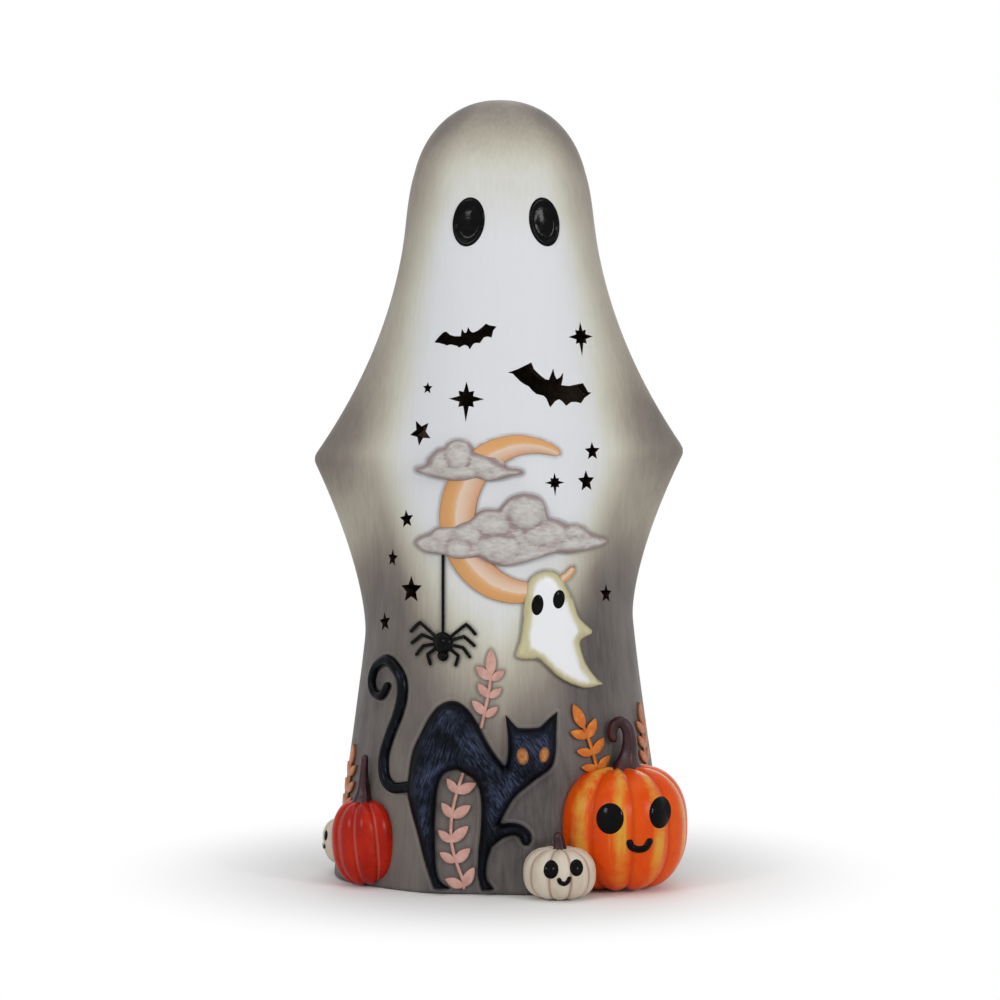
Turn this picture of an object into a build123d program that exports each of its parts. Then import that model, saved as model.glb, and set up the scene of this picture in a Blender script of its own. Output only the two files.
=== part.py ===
from build123d import *
import os
from math import asin, cos, exp, hypot, pi, radians, sin

# A hollow ceramic ghost figure with pierced bats and stars, sprigged ornaments and a push-in light unit.
# Millimetres, +Z up, the figure faces -Y and stands on Z = 0 with its drape's axis on Z.

# Ghost body: horizontal sections up the height, a round core with an arm on each side
GHOST_HEIGHT = 240.0
HEAD_BASE_HEIGHT = 205.0
HEAD_HALF_WIDTH = 28.7
HEAD_HALF_DEPTH = 26.0
DOME_FULLNESS = 2.15
WAIST_HEIGHT = 79.0
WAIST_HALF_WIDTH = 41.4
WAIST_HALF_DEPTH = 36.0
BASE_HALF_WIDTH = 50.0
BASE_HALF_DEPTH = 44.0
HEM_FLARE = 1.2
HEM_FOLDS = 8
HEM_FOLD_DEPTH = 1.0
HEM_FOLD_HEIGHT = 60.0
HEM_FOLD_FADE = 1.5
HEM_FOLD_TURN = 72.0
ARM_HEIGHT = 130.0
ARM_REACH = 21.3
ARM_RISE = 75.0
ARM_RISE_CURVE = 2.1
ARM_DROP = 51.0
ARM_DROP_CURVE = 1.45
ARM_LOW_SPREAD = 13.0
ARM_HIGH_SPREAD = 30.0
BODY_WALL = 4.0
BODY_FLOOR = 9.0
SECTION_POINTS = 32
HEM_SECTIONS = 5
FLANK_SECTIONS = 6
CHEST_SECTIONS = 8
SECTION_EASE = 1.5
LEAST_STEP = 1.0
DOME_ANGLES = (25, 45, 62, 75, 84, 88.5)

# Eyes: oval inlays in sockets
EYE_HALF_WIDTH = 5.1
EYE_HALF_HEIGHT = 7.5
EYE_DEPTH = 1.8
EYE_RIM = 1.1
EYE_DISH = 0.8
EYE_HEIGHT = 202.6
LEFT_EYE_AZIMUTH = -21.2
LEFT_EYE_LEAN = -6.5
RIGHT_EYE_AZIMUTH = 30.4
RIGHT_EYE_LEAN = 9.0
INLAY_CLEARANCE = 0.05

# Pierced bats and stars: azimuth from the front, height, size and tilt
PIERCE_REACH = 12.0
BATS = ((-21.1, 167.5, 10.2, 14.2), (31.7, 153.1, 14.1, -13.3))
COMPASS_STARS = ((51.6, 167.3, 4.9), (-19.4, 148.3, 5.9), (29.8, 123.6, 3.4))
STARS = (
    (-43.4, 152.2, 1.6, 0),
    (-46.1, 138.7, 3.6, 30),
    (52.0, 133.1, 2.1, 0),
    (48.2, 123.8, 2.8, 0),
    (-50.9, 112.3, 2.1, 5),
    (-59.1, 100.0, 2.2, 0),
    (-46.2, 90.9, 3.7, 3),
    (-62.3, 80.3, 2.8, 12),
    (56.5, 89.3, 2.3, -5),
)
STAR_WAIST = 0.42
COMPASS_WAIST = 0.24

# Relief heights of the sprigged ornaments
FRONT_REACH = 80.0
FRONT_AZIMUTH = 80.0
HALVINGS = 40
RELIEF_ROOT = 5.0
MOON_RELIEF = 1.8
CLOUD_RELIEF = 3.2
THREAD_RELIEF = 0.9
SMALL_GHOST_RELIEF = 3.0
CAT_RELIEF = 4.2
TAIL_RELIEF = 2.8
LEAF_RELIEF = 1.1
PAINTED_INLAY = 0.4

# Moon: a crescent between two circles
MOON_CENTRE = (5.0, 113.0)
MOON_RADIUS = 24.5
MOON_HOLLOW_CENTRE = (14.2, 114.0)
MOON_HOLLOW_RADIUS = 20.3

# Clouds: a flat wisp of ovals, and puffs as balls sunk in the body: x, height, radius
PUFF_SINK = 0.15
UPPER_WISPS = ((-15.0, 127.6, 11.5, 2.6), (-1.5, 127.6, 9.0, 2.0), (-11.0, 129.5, 9.0, 5.0))
UPPER_PUFFS = ((-19.6, 129.3, 4.0), (-12.6, 131.6, 5.4), (-5.6, 129.6, 4.3), (-24.0, 127.4, 2.2))
LOWER_WISPS = ((-13.0, 104.8, 14.0, 3.4), (20.0, 105.0, 13.5, 2.6), (4.0, 107.5, 17.0, 7.2))
LOWER_PUFFS = (
    (-19.5, 105.2, 4.0),
    (-10.0, 108.2, 5.8),
    (-1.0, 109.0, 7.0),
    (8.2, 112.6, 8.2),
    (16.6, 107.4, 5.4),
    (4.0, 104.4, 4.4),
    (24.5, 105.0, 3.0),
)

# Spider and its thread
SPIDER_CENTRE = (-17.3, 75.5)
SPIDER_ABDOMEN_RADIUS = 2.9
SPIDER_HEAD_RADIUS = 1.8
SPIDER_HEAD_DROP = 3.9
SPIDER_LEG_WIDTH = 1.0
SPIDER_KNEES = ((7.1, 5.9), (6.4, 2.2), (6.0, -1.1), (4.7, -3.7))
SPIDER_FEET = ((9.8, 3.0), (9.5, -0.5), (8.1, -3.9), (3.9, -6.5))
THREAD_WIDTH = 1.0
THREAD_TOP = 103.0

# Small ghost, in the front view: the drape's two sides and its wavy hem
SMALL_GHOST_DRAPE = (
    (4.7, 72.0), (6.7, 76.8), (7.6, 88.9), (10.8, 96.2), (14.8, 97.4), (18.5, 95.6), (22.2, 88.4),
    (25.4, 80.8), (28.0, 77.5),
)
SMALL_GHOST_TAIL = ((24.5, 76.4), (25.0, 71.6), (28.0, 65.0), (31.5, 61.9))
SMALL_GHOST_HEM = ((31.5, 61.9), (25.5, 61.7), (17.3, 66.8), (11.2, 72.1), (8.4, 71.2), (4.7, 72.0))
SMALL_GHOST_EYES = ((11.4, 87.6, 1.7, 3.0), (17.9, 88.8, 1.6, 2.7))

# Cat, in the front view, clockwise from its hind foot
CAT_BACK = (
    (-19.2, 1.4), (-22.9, 14.9), (-27.6, 30.0), (-26.1, 40.0), (-20.3, 52.3), (-13.0, 58.3), (-6.2, 51.8),
    (1.3, 38.4),
)
CAT_EARS = (
    (1.3, 38.4), (2.9, 40.5), (2.4, 47.7), (1.6, 54.2), (6.3, 49.7), (12.3, 49.6), (17.2, 54.0), (16.3, 46.3),
)
CAT_JAW = ((16.3, 46.3), (16.6, 42.1), (14.1, 37.6), (8.9, 33.7))
CAT_CHEST = ((8.9, 33.7), (3.2, 28.1), (0.4, 21.2))
CAT_PAW = ((0.4, 21.2), (6.3, 21.1), (9.1, 17.4), (7.8, 15.2), (5.0, 18.0), (1.1, 17.8), (-2.6, 14.2))
CAT_FRONT_LEG = ((-2.6, 14.2), (-3.9, 9.0), (-3.6, 4.4), (-1.2, 1.4))
CAT_FRONT_FOOT = ((-1.2, 1.4), (-4.8, 1.2))
CAT_LEG_BACK = ((-4.8, 1.2), (-6.1, 9.5), (-5.3, 20.8), (-5.9, 30.6))
CAT_BELLY = ((-5.9, 30.6), (-9.0, 37.0), (-12.4, 38.0), (-15.8, 36.8), (-18.5, 30.7))
CAT_HIND_LEG = ((-18.5, 30.7), (-18.8, 20.0), (-19.2, 9.0), (-17.6, 3.4), (-13.7, 1.4))
CAT_EYES = ((6.9, 42.4), (13.6, 42.2))
CAT_EYE_HALF_WIDTH = 1.5
CAT_EYE_HALF_HEIGHT = 2.1

# Cat's tail, on a plane turned to the figure's right side: an S that ends in a curl
TAIL_AZIMUTH = -40.0
TAIL_WIDTH = 2.8
TAIL_LINE = (
    (0.0, 32.4), (-6.0, 31.8), (-10.2, 34.6), (-11.3, 40.5), (-8.8, 47.0), (-6.0, 53.0), (-4.4, 59.5),
    (-6.0, 65.0), (-12.0, 69.0), (-18.4, 67.2), (-20.8, 62.6), (-18.6, 58.4), (-14.0, 57.8), (-11.2, 61.0),
)

# Sprigs: plane's azimuth, foot and top of the stem, its bow, pairs of leaves and the leaf's length
LEAF_SPREAD = 48.0
LEAF_FULLNESS = 0.22
TOP_PAIR_DROP = 0.1
LEAF_OVERLAP = 1.2
SPRIG_STEM_WIDTH = 1.0
UPPER_PINK_SPRIG = (0.0, (-5.6, 50.5), (-2.7, 67.0), 0.6, 3, 5.6)
LOWER_PINK_SPRIG = (0.0, (-11.6, 1.2), (-11.4, 33.0), -3.4, 5, 6.0)
ORANGE_SPRIG = (0.0, (30.2, 34.0), (25.2, 50.6), 0.5, 3, 6.3)
LEFT_SIDE_SPRIG = (-77.0, (0.0, 18.0), (-1.0, 36.0), 0.6, 3, 5.6)
RIGHT_SIDE_SPRIG = (76.0, (0.0, 33.0), (1.0, 49.0), -0.6, 3, 5.6)

# Pumpkins: azimuth round the body, centre's height, how far it stands out of the wall, half sizes and lean
LARGE_PUMPKIN = (53.4, 17.5, 0.8, 19.5, 19.4, 0.0)
WHITE_PUMPKIN = (20.8, 7.6, 6.5, 11.2, 8.2, 0.0)
RED_PUMPKIN = (-62.5, 12.6, 0.3, 9.8, 13.0, -7.0)
SIDE_PUMPKIN = (-87.6, 8.2, -1.0, 7.6, 8.2, -6.0)
PUMPKIN_RIBS = 10
PUMPKIN_GROOVE = 0.09
PUMPKIN_FULLNESS = 2.3
RIB_POINTS = 4
PUMPKIN_ANGLES = (-78, -58, -38, -18, 0, 18, 38, 58, 78)

# Pumpkin stems: sideways, up from the pumpkin's top and radius at points along each
STEM_SECTIONS = 10
LARGE_STEM = (
    (0.0, -3.0, 4.6), (0.0, 2.4, 2.9), (-0.4, 7.0, 2.3), (-1.2, 11.0, 2.0), (-3.0, 13.2, 1.8),
    (-5.0, 12.2, 1.6), (-5.7, 9.4, 1.2),
)
WHITE_STEM = ((0.0, -1.4, 2.3), (0.0, 1.8, 1.6), (-0.4, 3.8, 1.4))
RED_STEM = ((0.0, -2.0, 3.0), (-0.2, 3.0, 1.7), (-0.1, 8.0, 1.2), (0.6, 13.6, 0.9))
SIDE_STEM = ((-1.6, -1.4, 1.8), (-1.8, 1.6, 1.3), (-2.2, 3.4, 1.1))

# Pumpkin faces: eyes as x, height, half-width and half-height, and the smile's left, lowest and right points
LARGE_FACE_EYES = ((32.7, 24.0, 3.8, 4.5), (48.2, 25.8, 3.0, 4.4))
LARGE_FACE_SMILE = ((38.4, 16.8), (41.8, 14.0), (45.2, 17.2))
WHITE_FACE_EYES = ((15.2, 9.6, 1.5, 1.9), (22.9, 10.2, 1.5, 1.9))
WHITE_FACE_SMILE = ((17.2, 6.6), (19.2, 5.0), (21.2, 6.8))
SIDE_FACE_AZIMUTH = -80.0
SIDE_FACE_EYES = ((-9.6, 10.2, 1.2, 1.5), (-4.0, 10.2, 1.2, 1.5))
SIDE_FACE_SMILE = ((-8.2, 6.8), (-6.8, 5.6), (-5.4, 6.8))
SMILE_THICKNESS = 1.1

# Battery bay of the light unit: two AAA cells side by side
CELL_DIAMETER = 10.5
CELL_LENGTH = 44.5
CELL_BUTTON_LENGTH = 1.0
CELL_BUTTON_RADIUS = 1.9
CELL_CLEARANCE = 0.4
CONTACT_THICKNESS = 0.4
CONTACT_BUMP = 0.6
CONTACT_GAP = 0.05
CONTACT_BUMP_RADIUS = 2.2
CONTACT_WIDTH = 8.6
CONTACT_HEIGHT = 8.0
CONTACT_TAIL_WIDTH = 3.0
CONTACT_TAIL_RISE = 2.2
BAY_WALL = 1.5

# Light unit: a flanged cup, its cover and what it carries
FLANGE_RECESS = 1.5
FLANGE_THICKNESS = 2.4
FLANGE_LIP = 3.5
FLANGE_CLEARANCE = 0.5
FLANGE_GAP = 0.2
CUP_MARGIN = 2.0
CUP_WALL = 1.6
CUP_HEIGHT = 20.0
COVER_THICKNESS = 2.0
COVER_SPIGOT = 2.0
COVER_CLEARANCE = 0.1
GRIP_RING_THICKNESS = 1.8
GRIP_RING_HEIGHT = 4.0
GRIP_RING_CLEARANCE = 0.15
DOOR_LEDGE = 1.2
DOOR_THICKNESS = 1.5
DOOR_CLEARANCE = 0.3
DOOR_TAB_LENGTH = 6.4
DOOR_TAB_WIDTH = 9.0
SCREW_BOSS_RADIUS = 2.4
SCREW_SHANK_RADIUS = 1.1
SCREW_HEAD_RADIUS = 2.1
SCREW_HEAD_HEIGHT = 0.8
SCREW_CROSS_LENGTH = 2.7
SCREW_CROSS_WIDTH = 0.6
SCREW_LENGTH = 6.0
SCREW_CLEARANCE = 0.1
BOARD_LENGTH = 26.0
BOARD_WIDTH = 14.0
BOARD_THICKNESS = 1.2
BOARD_STANDOFF = 2.6
BOARD_POST_RADIUS = 2.2
BOARD_POST_SPACING = 20.0
BOARD_SCREW_RADIUS = 0.9
BOARD_SCREW_HEAD_RADIUS = 1.8
BOARD_SCREW_HEAD_HEIGHT = 1.2
BOARD_SCREW_GRIP = 2.0
RESISTOR_SIZE = (1.6, 3.2, 0.6)
RESISTOR_PLACE = (-5.0, 3.0)
LAMP_RADIUS = 2.5
LAMP_RIM_RADIUS = 2.9
LAMP_RIM_HEIGHT = 1.0
LAMP_HEIGHT = 8.6
LAMP_LEG_WIDTH = 0.5
LAMP_LEG_SPACING = 2.54
LAMP_LEG_DROP = 1.4
LAMP_CLEARANCE = 0.3
DIFFUSER_RADIUS = 14.0
DIFFUSER_WALL = 1.2
DIFFUSER_FOOT_RADIUS = 16.0
DIFFUSER_FOOT_THICKNESS = 1.2
SWITCH_LENGTH = 10.0
SWITCH_WIDTH = 5.0
SWITCH_HEIGHT = 5.0
SWITCH_SKIN = 0.8
SWITCH_WALL_GAP = 4.4
SWITCH_TRAVEL = 2.5
SLIDER_KNOB_LENGTH = 2.6
SLIDER_KNOB_WIDTH = 2.4
SLIDER_KNOB_DROP = 0.9
SLIDER_FOOT_LENGTH = 4.0
SLIDER_FOOT_HEIGHT = 1.4
SLIDER_CLEARANCE = 0.3
TERMINAL_SPACING = 5.0
WIRE_RADIUS = 0.5
WIRE_BEND = 1.2
WIRE_LIFT = 0.7
WIRE_SWEEP = 4.0


def half_sizes(height, rise):
    """Half-width and half-depth of the drape's round core at a height, moved out by rise."""
    if height >= HEAD_BASE_HEIGHT:
        share = (height - HEAD_BASE_HEIGHT) / (GHOST_HEIGHT - HEAD_BASE_HEIGHT)
        closing = max(0.0, 1 - share**DOME_FULLNESS) ** (1 / DOME_FULLNESS)
        return (HEAD_HALF_WIDTH + rise) * closing, (HEAD_HALF_DEPTH + rise) * closing
    if height >= WAIST_HEIGHT:
        share = (height - WAIST_HEIGHT) / (HEAD_BASE_HEIGHT - WAIST_HEIGHT)
        width = WAIST_HALF_WIDTH + (HEAD_HALF_WIDTH - WAIST_HALF_WIDTH) * share
        depth = WAIST_HALF_DEPTH + (HEAD_HALF_DEPTH - WAIST_HALF_DEPTH) * share
        return width + rise, depth + rise
    share = (1 - height / WAIST_HEIGHT) ** HEM_FLARE
    width = WAIST_HALF_WIDTH + (BASE_HALF_WIDTH - WAIST_HALF_WIDTH) * share
    depth = WAIST_HALF_DEPTH + (BASE_HALF_DEPTH - WAIST_HALF_DEPTH) * share
    return width + rise, depth + rise


def arm_reach(height):
    """How far an arm stands out of the core at a height."""
    if height >= ARM_HEIGHT:
        return ARM_REACH * max(0.0, 1 - (height - ARM_HEIGHT) / ARM_RISE) ** ARM_RISE_CURVE
    return ARM_REACH * max(0.0, 1 - (ARM_HEIGHT - height) / ARM_DROP) ** ARM_DROP_CURVE


def arm_spread(height):
    """Angle over which an arm fades into the core at a height, in radians."""
    share = (height - ARM_HEIGHT + ARM_DROP) / (ARM_DROP + ARM_RISE)
    return radians(ARM_LOW_SPREAD + (ARM_HIGH_SPREAD - ARM_LOW_SPREAD) * min(1.0, max(0.0, share)))


def section_point(angle, height, rise):
    """Point of the body's outline at an angle from +X, on the section at a height."""
    half_width, half_depth = half_sizes(height, rise)
    radius = half_width * half_depth / hypot(half_depth * cos(angle), half_width * sin(angle))
    from_side = asin(min(1.0, abs(sin(angle))))
    radius += arm_reach(height) * exp(-((from_side / arm_spread(height)) ** 2))
    hem = max(0.0, 1 - height / HEM_FOLD_HEIGHT) ** HEM_FOLD_FADE
    radius += HEM_FOLD_DEPTH * hem * cos(HEM_FOLDS * (angle + radians(HEM_FOLD_TURN)))
    return radius * cos(angle), radius * sin(angle)


def section_heights(bottom):
    """Heights of the body's sections: closer near the arms' tips and the crown."""
    flank_height = ARM_HEIGHT - WAIST_HEIGHT
    chest_height = HEAD_BASE_HEIGHT - ARM_HEIGHT
    crown_height = GHOST_HEIGHT - HEAD_BASE_HEIGHT
    hem = [WAIST_HEIGHT * step / HEM_SECTIONS for step in range(HEM_SECTIONS)]
    flank_shares = [1 - (1 - step / FLANK_SECTIONS) ** SECTION_EASE for step in range(FLANK_SECTIONS)]
    chest_shares = [(step / CHEST_SECTIONS) ** SECTION_EASE for step in range(CHEST_SECTIONS + 1)]
    flank = [WAIST_HEIGHT + flank_height * share for share in flank_shares]
    chest = [ARM_HEIGHT + chest_height * share for share in chest_shares]
    crown = [HEAD_BASE_HEIGHT + crown_height * sin(radians(angle)) for angle in DOME_ANGLES]
    return [bottom] + [height for height in hem + flank + chest + crown if height > bottom + LEAST_STEP]


def closed_spline(points):
    """Adds a closed curve with evenly spaced parameters, so that lofted sections share their knots."""
    count = len(points)
    steps = [step / count for step in range(count + 1)]
    add(Edge.make_spline([Vector(*point) for point in points], periodic=True, parameters=steps))


def body_form(rise, bottom):
    """The ghost's solid form, its surface moved out by rise."""
    crown_stretch = (GHOST_HEIGHT + rise - HEAD_BASE_HEIGHT) / (GHOST_HEIGHT - HEAD_BASE_HEIGHT)
    turns = [2 * pi * step / SECTION_POINTS for step in range(SECTION_POINTS)]
    with BuildPart() as form:
        for height in section_heights(bottom):
            level = height
            if height > HEAD_BASE_HEIGHT:
                level = HEAD_BASE_HEIGHT + (height - HEAD_BASE_HEIGHT) * crown_stretch
            with BuildSketch(Plane.XY.offset(level)):
                with BuildLine():
                    closed_spline([section_point(turn, height, rise) for turn in turns])
                make_face()
        loft()
    return form.part


def surface(azimuth, height, rise=0.0):
    """Point on the body at an azimuth from the front, positive towards +X, moved out by rise."""
    return Vector(*section_point(radians(azimuth - 90), height, rise), height)


def surface_plane(azimuth, height, tilt=0.0):
    """Plane that touches the body at a point, its own Y up and its Z outwards."""
    step = 0.5
    sideways = surface(azimuth + step, height) - surface(azimuth - step, height)
    upwards = surface(azimuth, height + step) - surface(azimuth, height - step)
    touching = Plane(origin=surface(azimuth, height), x_dir=sideways, z_dir=sideways.cross(upwards))
    return touching.rotated((0, 0, tilt))


def facing_plane(azimuth):
    """Upright plane in front of the body, seen from an azimuth: its own X is sideways and its Y is height."""
    turn = radians(azimuth)
    return Plane(origin=(0, 0, 0), x_dir=(cos(turn), sin(turn), 0), z_dir=(sin(turn), -cos(turn), 0)).offset(
        FRONT_REACH
    )


def front_point(x, height):
    """Point on the body's front at a sideways place and a height."""
    low, high = -FRONT_AZIMUTH, FRONT_AZIMUTH
    for _ in range(HALVINGS):
        middle = (low + high) / 2
        if surface(middle, height).X < x:
            low = middle
        else:
            high = middle
    return surface(low, height)


def compass_star(reach):
    """Draws a star of eight rays, the upright pair longest."""
    rays = (1.0, 0.55, 0.9, 0.55, 1.0, 0.55, 0.9, 0.55)
    step = 2 * pi / len(rays)
    points = []
    for number, ray in enumerate(rays):
        angle = pi / 2 - step * number
        between = angle - step / 2
        points.append((reach * ray * cos(angle), reach * ray * sin(angle)))
        points.append((reach * COMPASS_WAIST * cos(between), reach * COMPASS_WAIST * sin(between)))
    with BuildLine() as outline:
        Polyline(*points, close=True)
    make_face(outline.edges())


def five_point_star(reach):
    """Draws a star of five rays."""
    radii = [reach, reach * STAR_WAIST] * 5
    angles = [radians(90 + 36 * step) for step in range(10)]
    with BuildLine() as outline:
        Polyline(*[(r * cos(a), r * sin(a)) for r, a in zip(radii, angles)], close=True)
    make_face(outline.edges())


def bat(half_span):
    """Draws a bat with spread wings: straight leading edges, ears and scalloped trailing edges."""
    wing = [(0, 0.2), (0.1, 0.38), (0.17, 0.15), (0.32, 0.08), (0.58, 0.14), (0.68, 0.3), (1.0, 0.1)]
    scallops = [
        ((1.0, 0.1), (0.87, 0.02), (0.8, -0.16)),
        ((0.8, -0.16), (0.62, -0.07), (0.45, -0.28)),
        ((0.45, -0.28), (0.33, -0.18), (0.2, -0.3)),
    ]
    with BuildLine() as outline:
        Polyline(*[(half_span * x, half_span * y) for x, y in wing])
        for arc in scallops:
            ThreePointArc(*[(half_span * x, half_span * y) for x, y in arc])
        Polyline((half_span * 0.2, -half_span * 0.3), (0, -half_span * 0.44), (0, half_span * 0.2))
    make_face(outline.edges())
    mirror(about=Plane.YZ)


# The ghost's outer form, which every ornament is shaped to, and its hollow
ghost_outer = body_form(0, 0)
ghost_hollow = body_form(-BODY_WALL, BODY_FLOOR)

# Sizes that the light unit and its hole in the base share
bay_length = CELL_LENGTH + 2 * (CONTACT_THICKNESS + CONTACT_BUMP + CONTACT_GAP)
bay_width = 2 * CELL_DIAMETER + 3 * CELL_CLEARANCE
flange_top = FLANGE_RECESS + FLANGE_THICKNESS
cell_axis_height = flange_top + CELL_CLEARANCE + CELL_DIAMETER / 2
bay_ceiling = cell_axis_height + CELL_DIAMETER / 2 + CELL_CLEARANCE
bay_roof = bay_ceiling + BAY_WALL
cup_radius = hypot(bay_length / 2 + BAY_WALL, bay_width / 2 + BAY_WALL) + CUP_MARGIN
cup_top = flange_top + CUP_HEIGHT
hole_radius = cup_radius + GRIP_RING_THICKNESS + GRIP_RING_CLEARANCE
flange_radius = hole_radius + FLANGE_LIP

# Ghost body: the shell, its eye sockets, the pierced bats and stars and the stepped hole in its base
left_eye_plane = surface_plane(LEFT_EYE_AZIMUTH, EYE_HEIGHT, LEFT_EYE_LEAN)
right_eye_plane = surface_plane(RIGHT_EYE_AZIMUTH, EYE_HEIGHT, RIGHT_EYE_LEAN)
with BuildPart() as ghost_body:
    add(ghost_outer)
    add(ghost_hollow, mode=Mode.SUBTRACT)
    with BuildSketch(Plane.XY):
        Circle(flange_radius + FLANGE_CLEARANCE)
    extrude(amount=flange_top + FLANGE_GAP, mode=Mode.SUBTRACT)
    with BuildSketch(Plane.XY):
        Circle(hole_radius)
    extrude(amount=BODY_FLOOR, mode=Mode.SUBTRACT)
    for eye_plane in (left_eye_plane, right_eye_plane):
        with BuildSketch(eye_plane.offset(-EYE_DEPTH)):
            Ellipse(EYE_HALF_WIDTH, EYE_HALF_HEIGHT)
        extrude(amount=PIERCE_REACH, mode=Mode.SUBTRACT)
    for azimuth, height, half_span, tilt in BATS:
        with BuildSketch(surface_plane(azimuth, height, tilt)):
            bat(half_span)
        extrude(amount=PIERCE_REACH, both=True, mode=Mode.SUBTRACT)
    for azimuth, height, reach in COMPASS_STARS:
        with BuildSketch(surface_plane(azimuth, height)):
            compass_star(reach)
        extrude(amount=PIERCE_REACH, both=True, mode=Mode.SUBTRACT)
    for azimuth, height, reach, tilt in STARS:
        with BuildSketch(surface_plane(azimuth, height, tilt)):
            five_point_star(reach)
        extrude(amount=PIERCE_REACH, both=True, mode=Mode.SUBTRACT)
ghost_body.part.label = "ghost_body"


def eye_inlay(plane):
    """A dished oval that fills its socket and follows the face."""
    with BuildPart() as inlay:
        with BuildSketch(plane.offset(-EYE_DEPTH)):
            Ellipse(EYE_HALF_WIDTH - INLAY_CLEARANCE, EYE_HALF_HEIGHT - INLAY_CLEARANCE)
        extrude(amount=PIERCE_REACH)
        add(ghost_outer, mode=Mode.INTERSECT)
        with BuildSketch(plane.offset(-EYE_DISH)):
            Ellipse(EYE_HALF_WIDTH - EYE_RIM, EYE_HALF_HEIGHT - EYE_RIM)
        extrude(amount=PIERCE_REACH, mode=Mode.SUBTRACT)
    return inlay.part


left_eye = eye_inlay(left_eye_plane)
left_eye.label = "left_eye"
right_eye = eye_inlay(right_eye_plane)
right_eye.label = "right_eye"

# Moon: a crescent that follows the belly
front = facing_plane(0)
relief_depth = FRONT_REACH - RELIEF_ROOT
moon_skin = body_form(MOON_RELIEF, 0)
with BuildPart() as moon:
    with BuildSketch(front):
        with Locations(MOON_CENTRE):
            Circle(MOON_RADIUS)
        with Locations(MOON_HOLLOW_CENTRE):
            Circle(MOON_HOLLOW_RADIUS, mode=Mode.SUBTRACT)
    extrude(amount=-relief_depth)
    add(moon_skin, mode=Mode.INTERSECT)
    add(ghost_outer, mode=Mode.SUBTRACT)
moon.part.label = "moon"


# Clouds: flat wisps with round puffs, laid over the moon
def cloud(wisps, puffs):
    """A cloud in relief, cut to the body and to the moon under it."""
    with BuildPart() as form:
        with BuildSketch(front):
            for x, height, half_width, half_height in wisps:
                with Locations((x, height)):
                    Ellipse(half_width, half_height)
        extrude(amount=-relief_depth)
        add(cloud_skin, mode=Mode.INTERSECT)
        for x, height, radius in puffs:
            place = front_point(x, height)
            with Locations((place.X, place.Y + PUFF_SINK * radius, height)):
                Sphere(radius)
        add(ghost_outer, mode=Mode.SUBTRACT)
        add(moon.part, mode=Mode.SUBTRACT)
    return form.part


cloud_skin = body_form(CLOUD_RELIEF, 0)
upper_cloud = cloud(UPPER_WISPS, UPPER_PUFFS)
upper_cloud.label = "upper_cloud"
lower_cloud = cloud(LOWER_WISPS, LOWER_PUFFS)
lower_cloud.label = "lower_cloud"

# Spider: two balls and eight bent legs, under a thread from the lower cloud
thread_skin = body_form(THREAD_RELIEF, 0)
with BuildPart() as spider:
    with BuildSketch(front):
        for side in (-1, 1):
            for knee, foot in zip(SPIDER_KNEES, SPIDER_FEET):
                with BuildLine() as leg:
                    Polyline(
                        SPIDER_CENTRE,
                        (SPIDER_CENTRE[0] + side * knee[0], SPIDER_CENTRE[1] + knee[1]),
                        (SPIDER_CENTRE[0] + side * foot[0], SPIDER_CENTRE[1] + foot[1]),
                    )
                trace(leg.line, line_width=SPIDER_LEG_WIDTH)
    extrude(amount=-relief_depth)
    add(thread_skin, mode=Mode.INTERSECT)
    with Locations(front_point(*SPIDER_CENTRE)):
        Sphere(SPIDER_ABDOMEN_RADIUS)
    with Locations(front_point(SPIDER_CENTRE[0], SPIDER_CENTRE[1] - SPIDER_HEAD_DROP)):
        Sphere(SPIDER_HEAD_RADIUS)
    add(ghost_outer, mode=Mode.SUBTRACT)
spider.part.label = "spider"

with BuildPart() as spider_thread:
    with BuildSketch(front):
        with Locations((SPIDER_CENTRE[0], (THREAD_TOP + SPIDER_CENTRE[1]) / 2)):
            Rectangle(THREAD_WIDTH, THREAD_TOP - SPIDER_CENTRE[1])
    extrude(amount=-relief_depth)
    add(thread_skin, mode=Mode.INTERSECT)
    add(ghost_outer, mode=Mode.SUBTRACT)
    add(spider.part, mode=Mode.SUBTRACT)
    add(lower_cloud, mode=Mode.SUBTRACT)
    add(moon.part, mode=Mode.SUBTRACT)
spider_thread.part.label = "spider_thread"

# Small ghost: a draped figure that flies in front of the moon's lower horn
small_ghost_skin = body_form(SMALL_GHOST_RELIEF, 0)
with BuildPart() as small_ghost:
    with BuildSketch(front):
        with BuildLine():
            Spline(*SMALL_GHOST_DRAPE)
            Line(SMALL_GHOST_DRAPE[-1], SMALL_GHOST_TAIL[0])
            Spline(*SMALL_GHOST_TAIL)
            Spline(*SMALL_GHOST_HEM)
        make_face()
    extrude(amount=-relief_depth)
    add(small_ghost_skin, mode=Mode.INTERSECT)
    add(ghost_outer, mode=Mode.SUBTRACT)
    add(moon.part, mode=Mode.SUBTRACT)
small_ghost.part.label = "small_ghost"

small_ghost_eye_skin = body_form(SMALL_GHOST_RELIEF + PAINTED_INLAY, 0)
with BuildPart() as small_ghost_eyes:
    with BuildSketch(front):
        for x, height, half_width, half_height in SMALL_GHOST_EYES:
            with Locations((x, height)):
                Ellipse(half_width, half_height)
    extrude(amount=-relief_depth)
    add(small_ghost_eye_skin, mode=Mode.INTERSECT)
    add(small_ghost_skin, mode=Mode.SUBTRACT)
small_ghost_eyes.part.label = "small_ghost_eyes"

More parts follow.
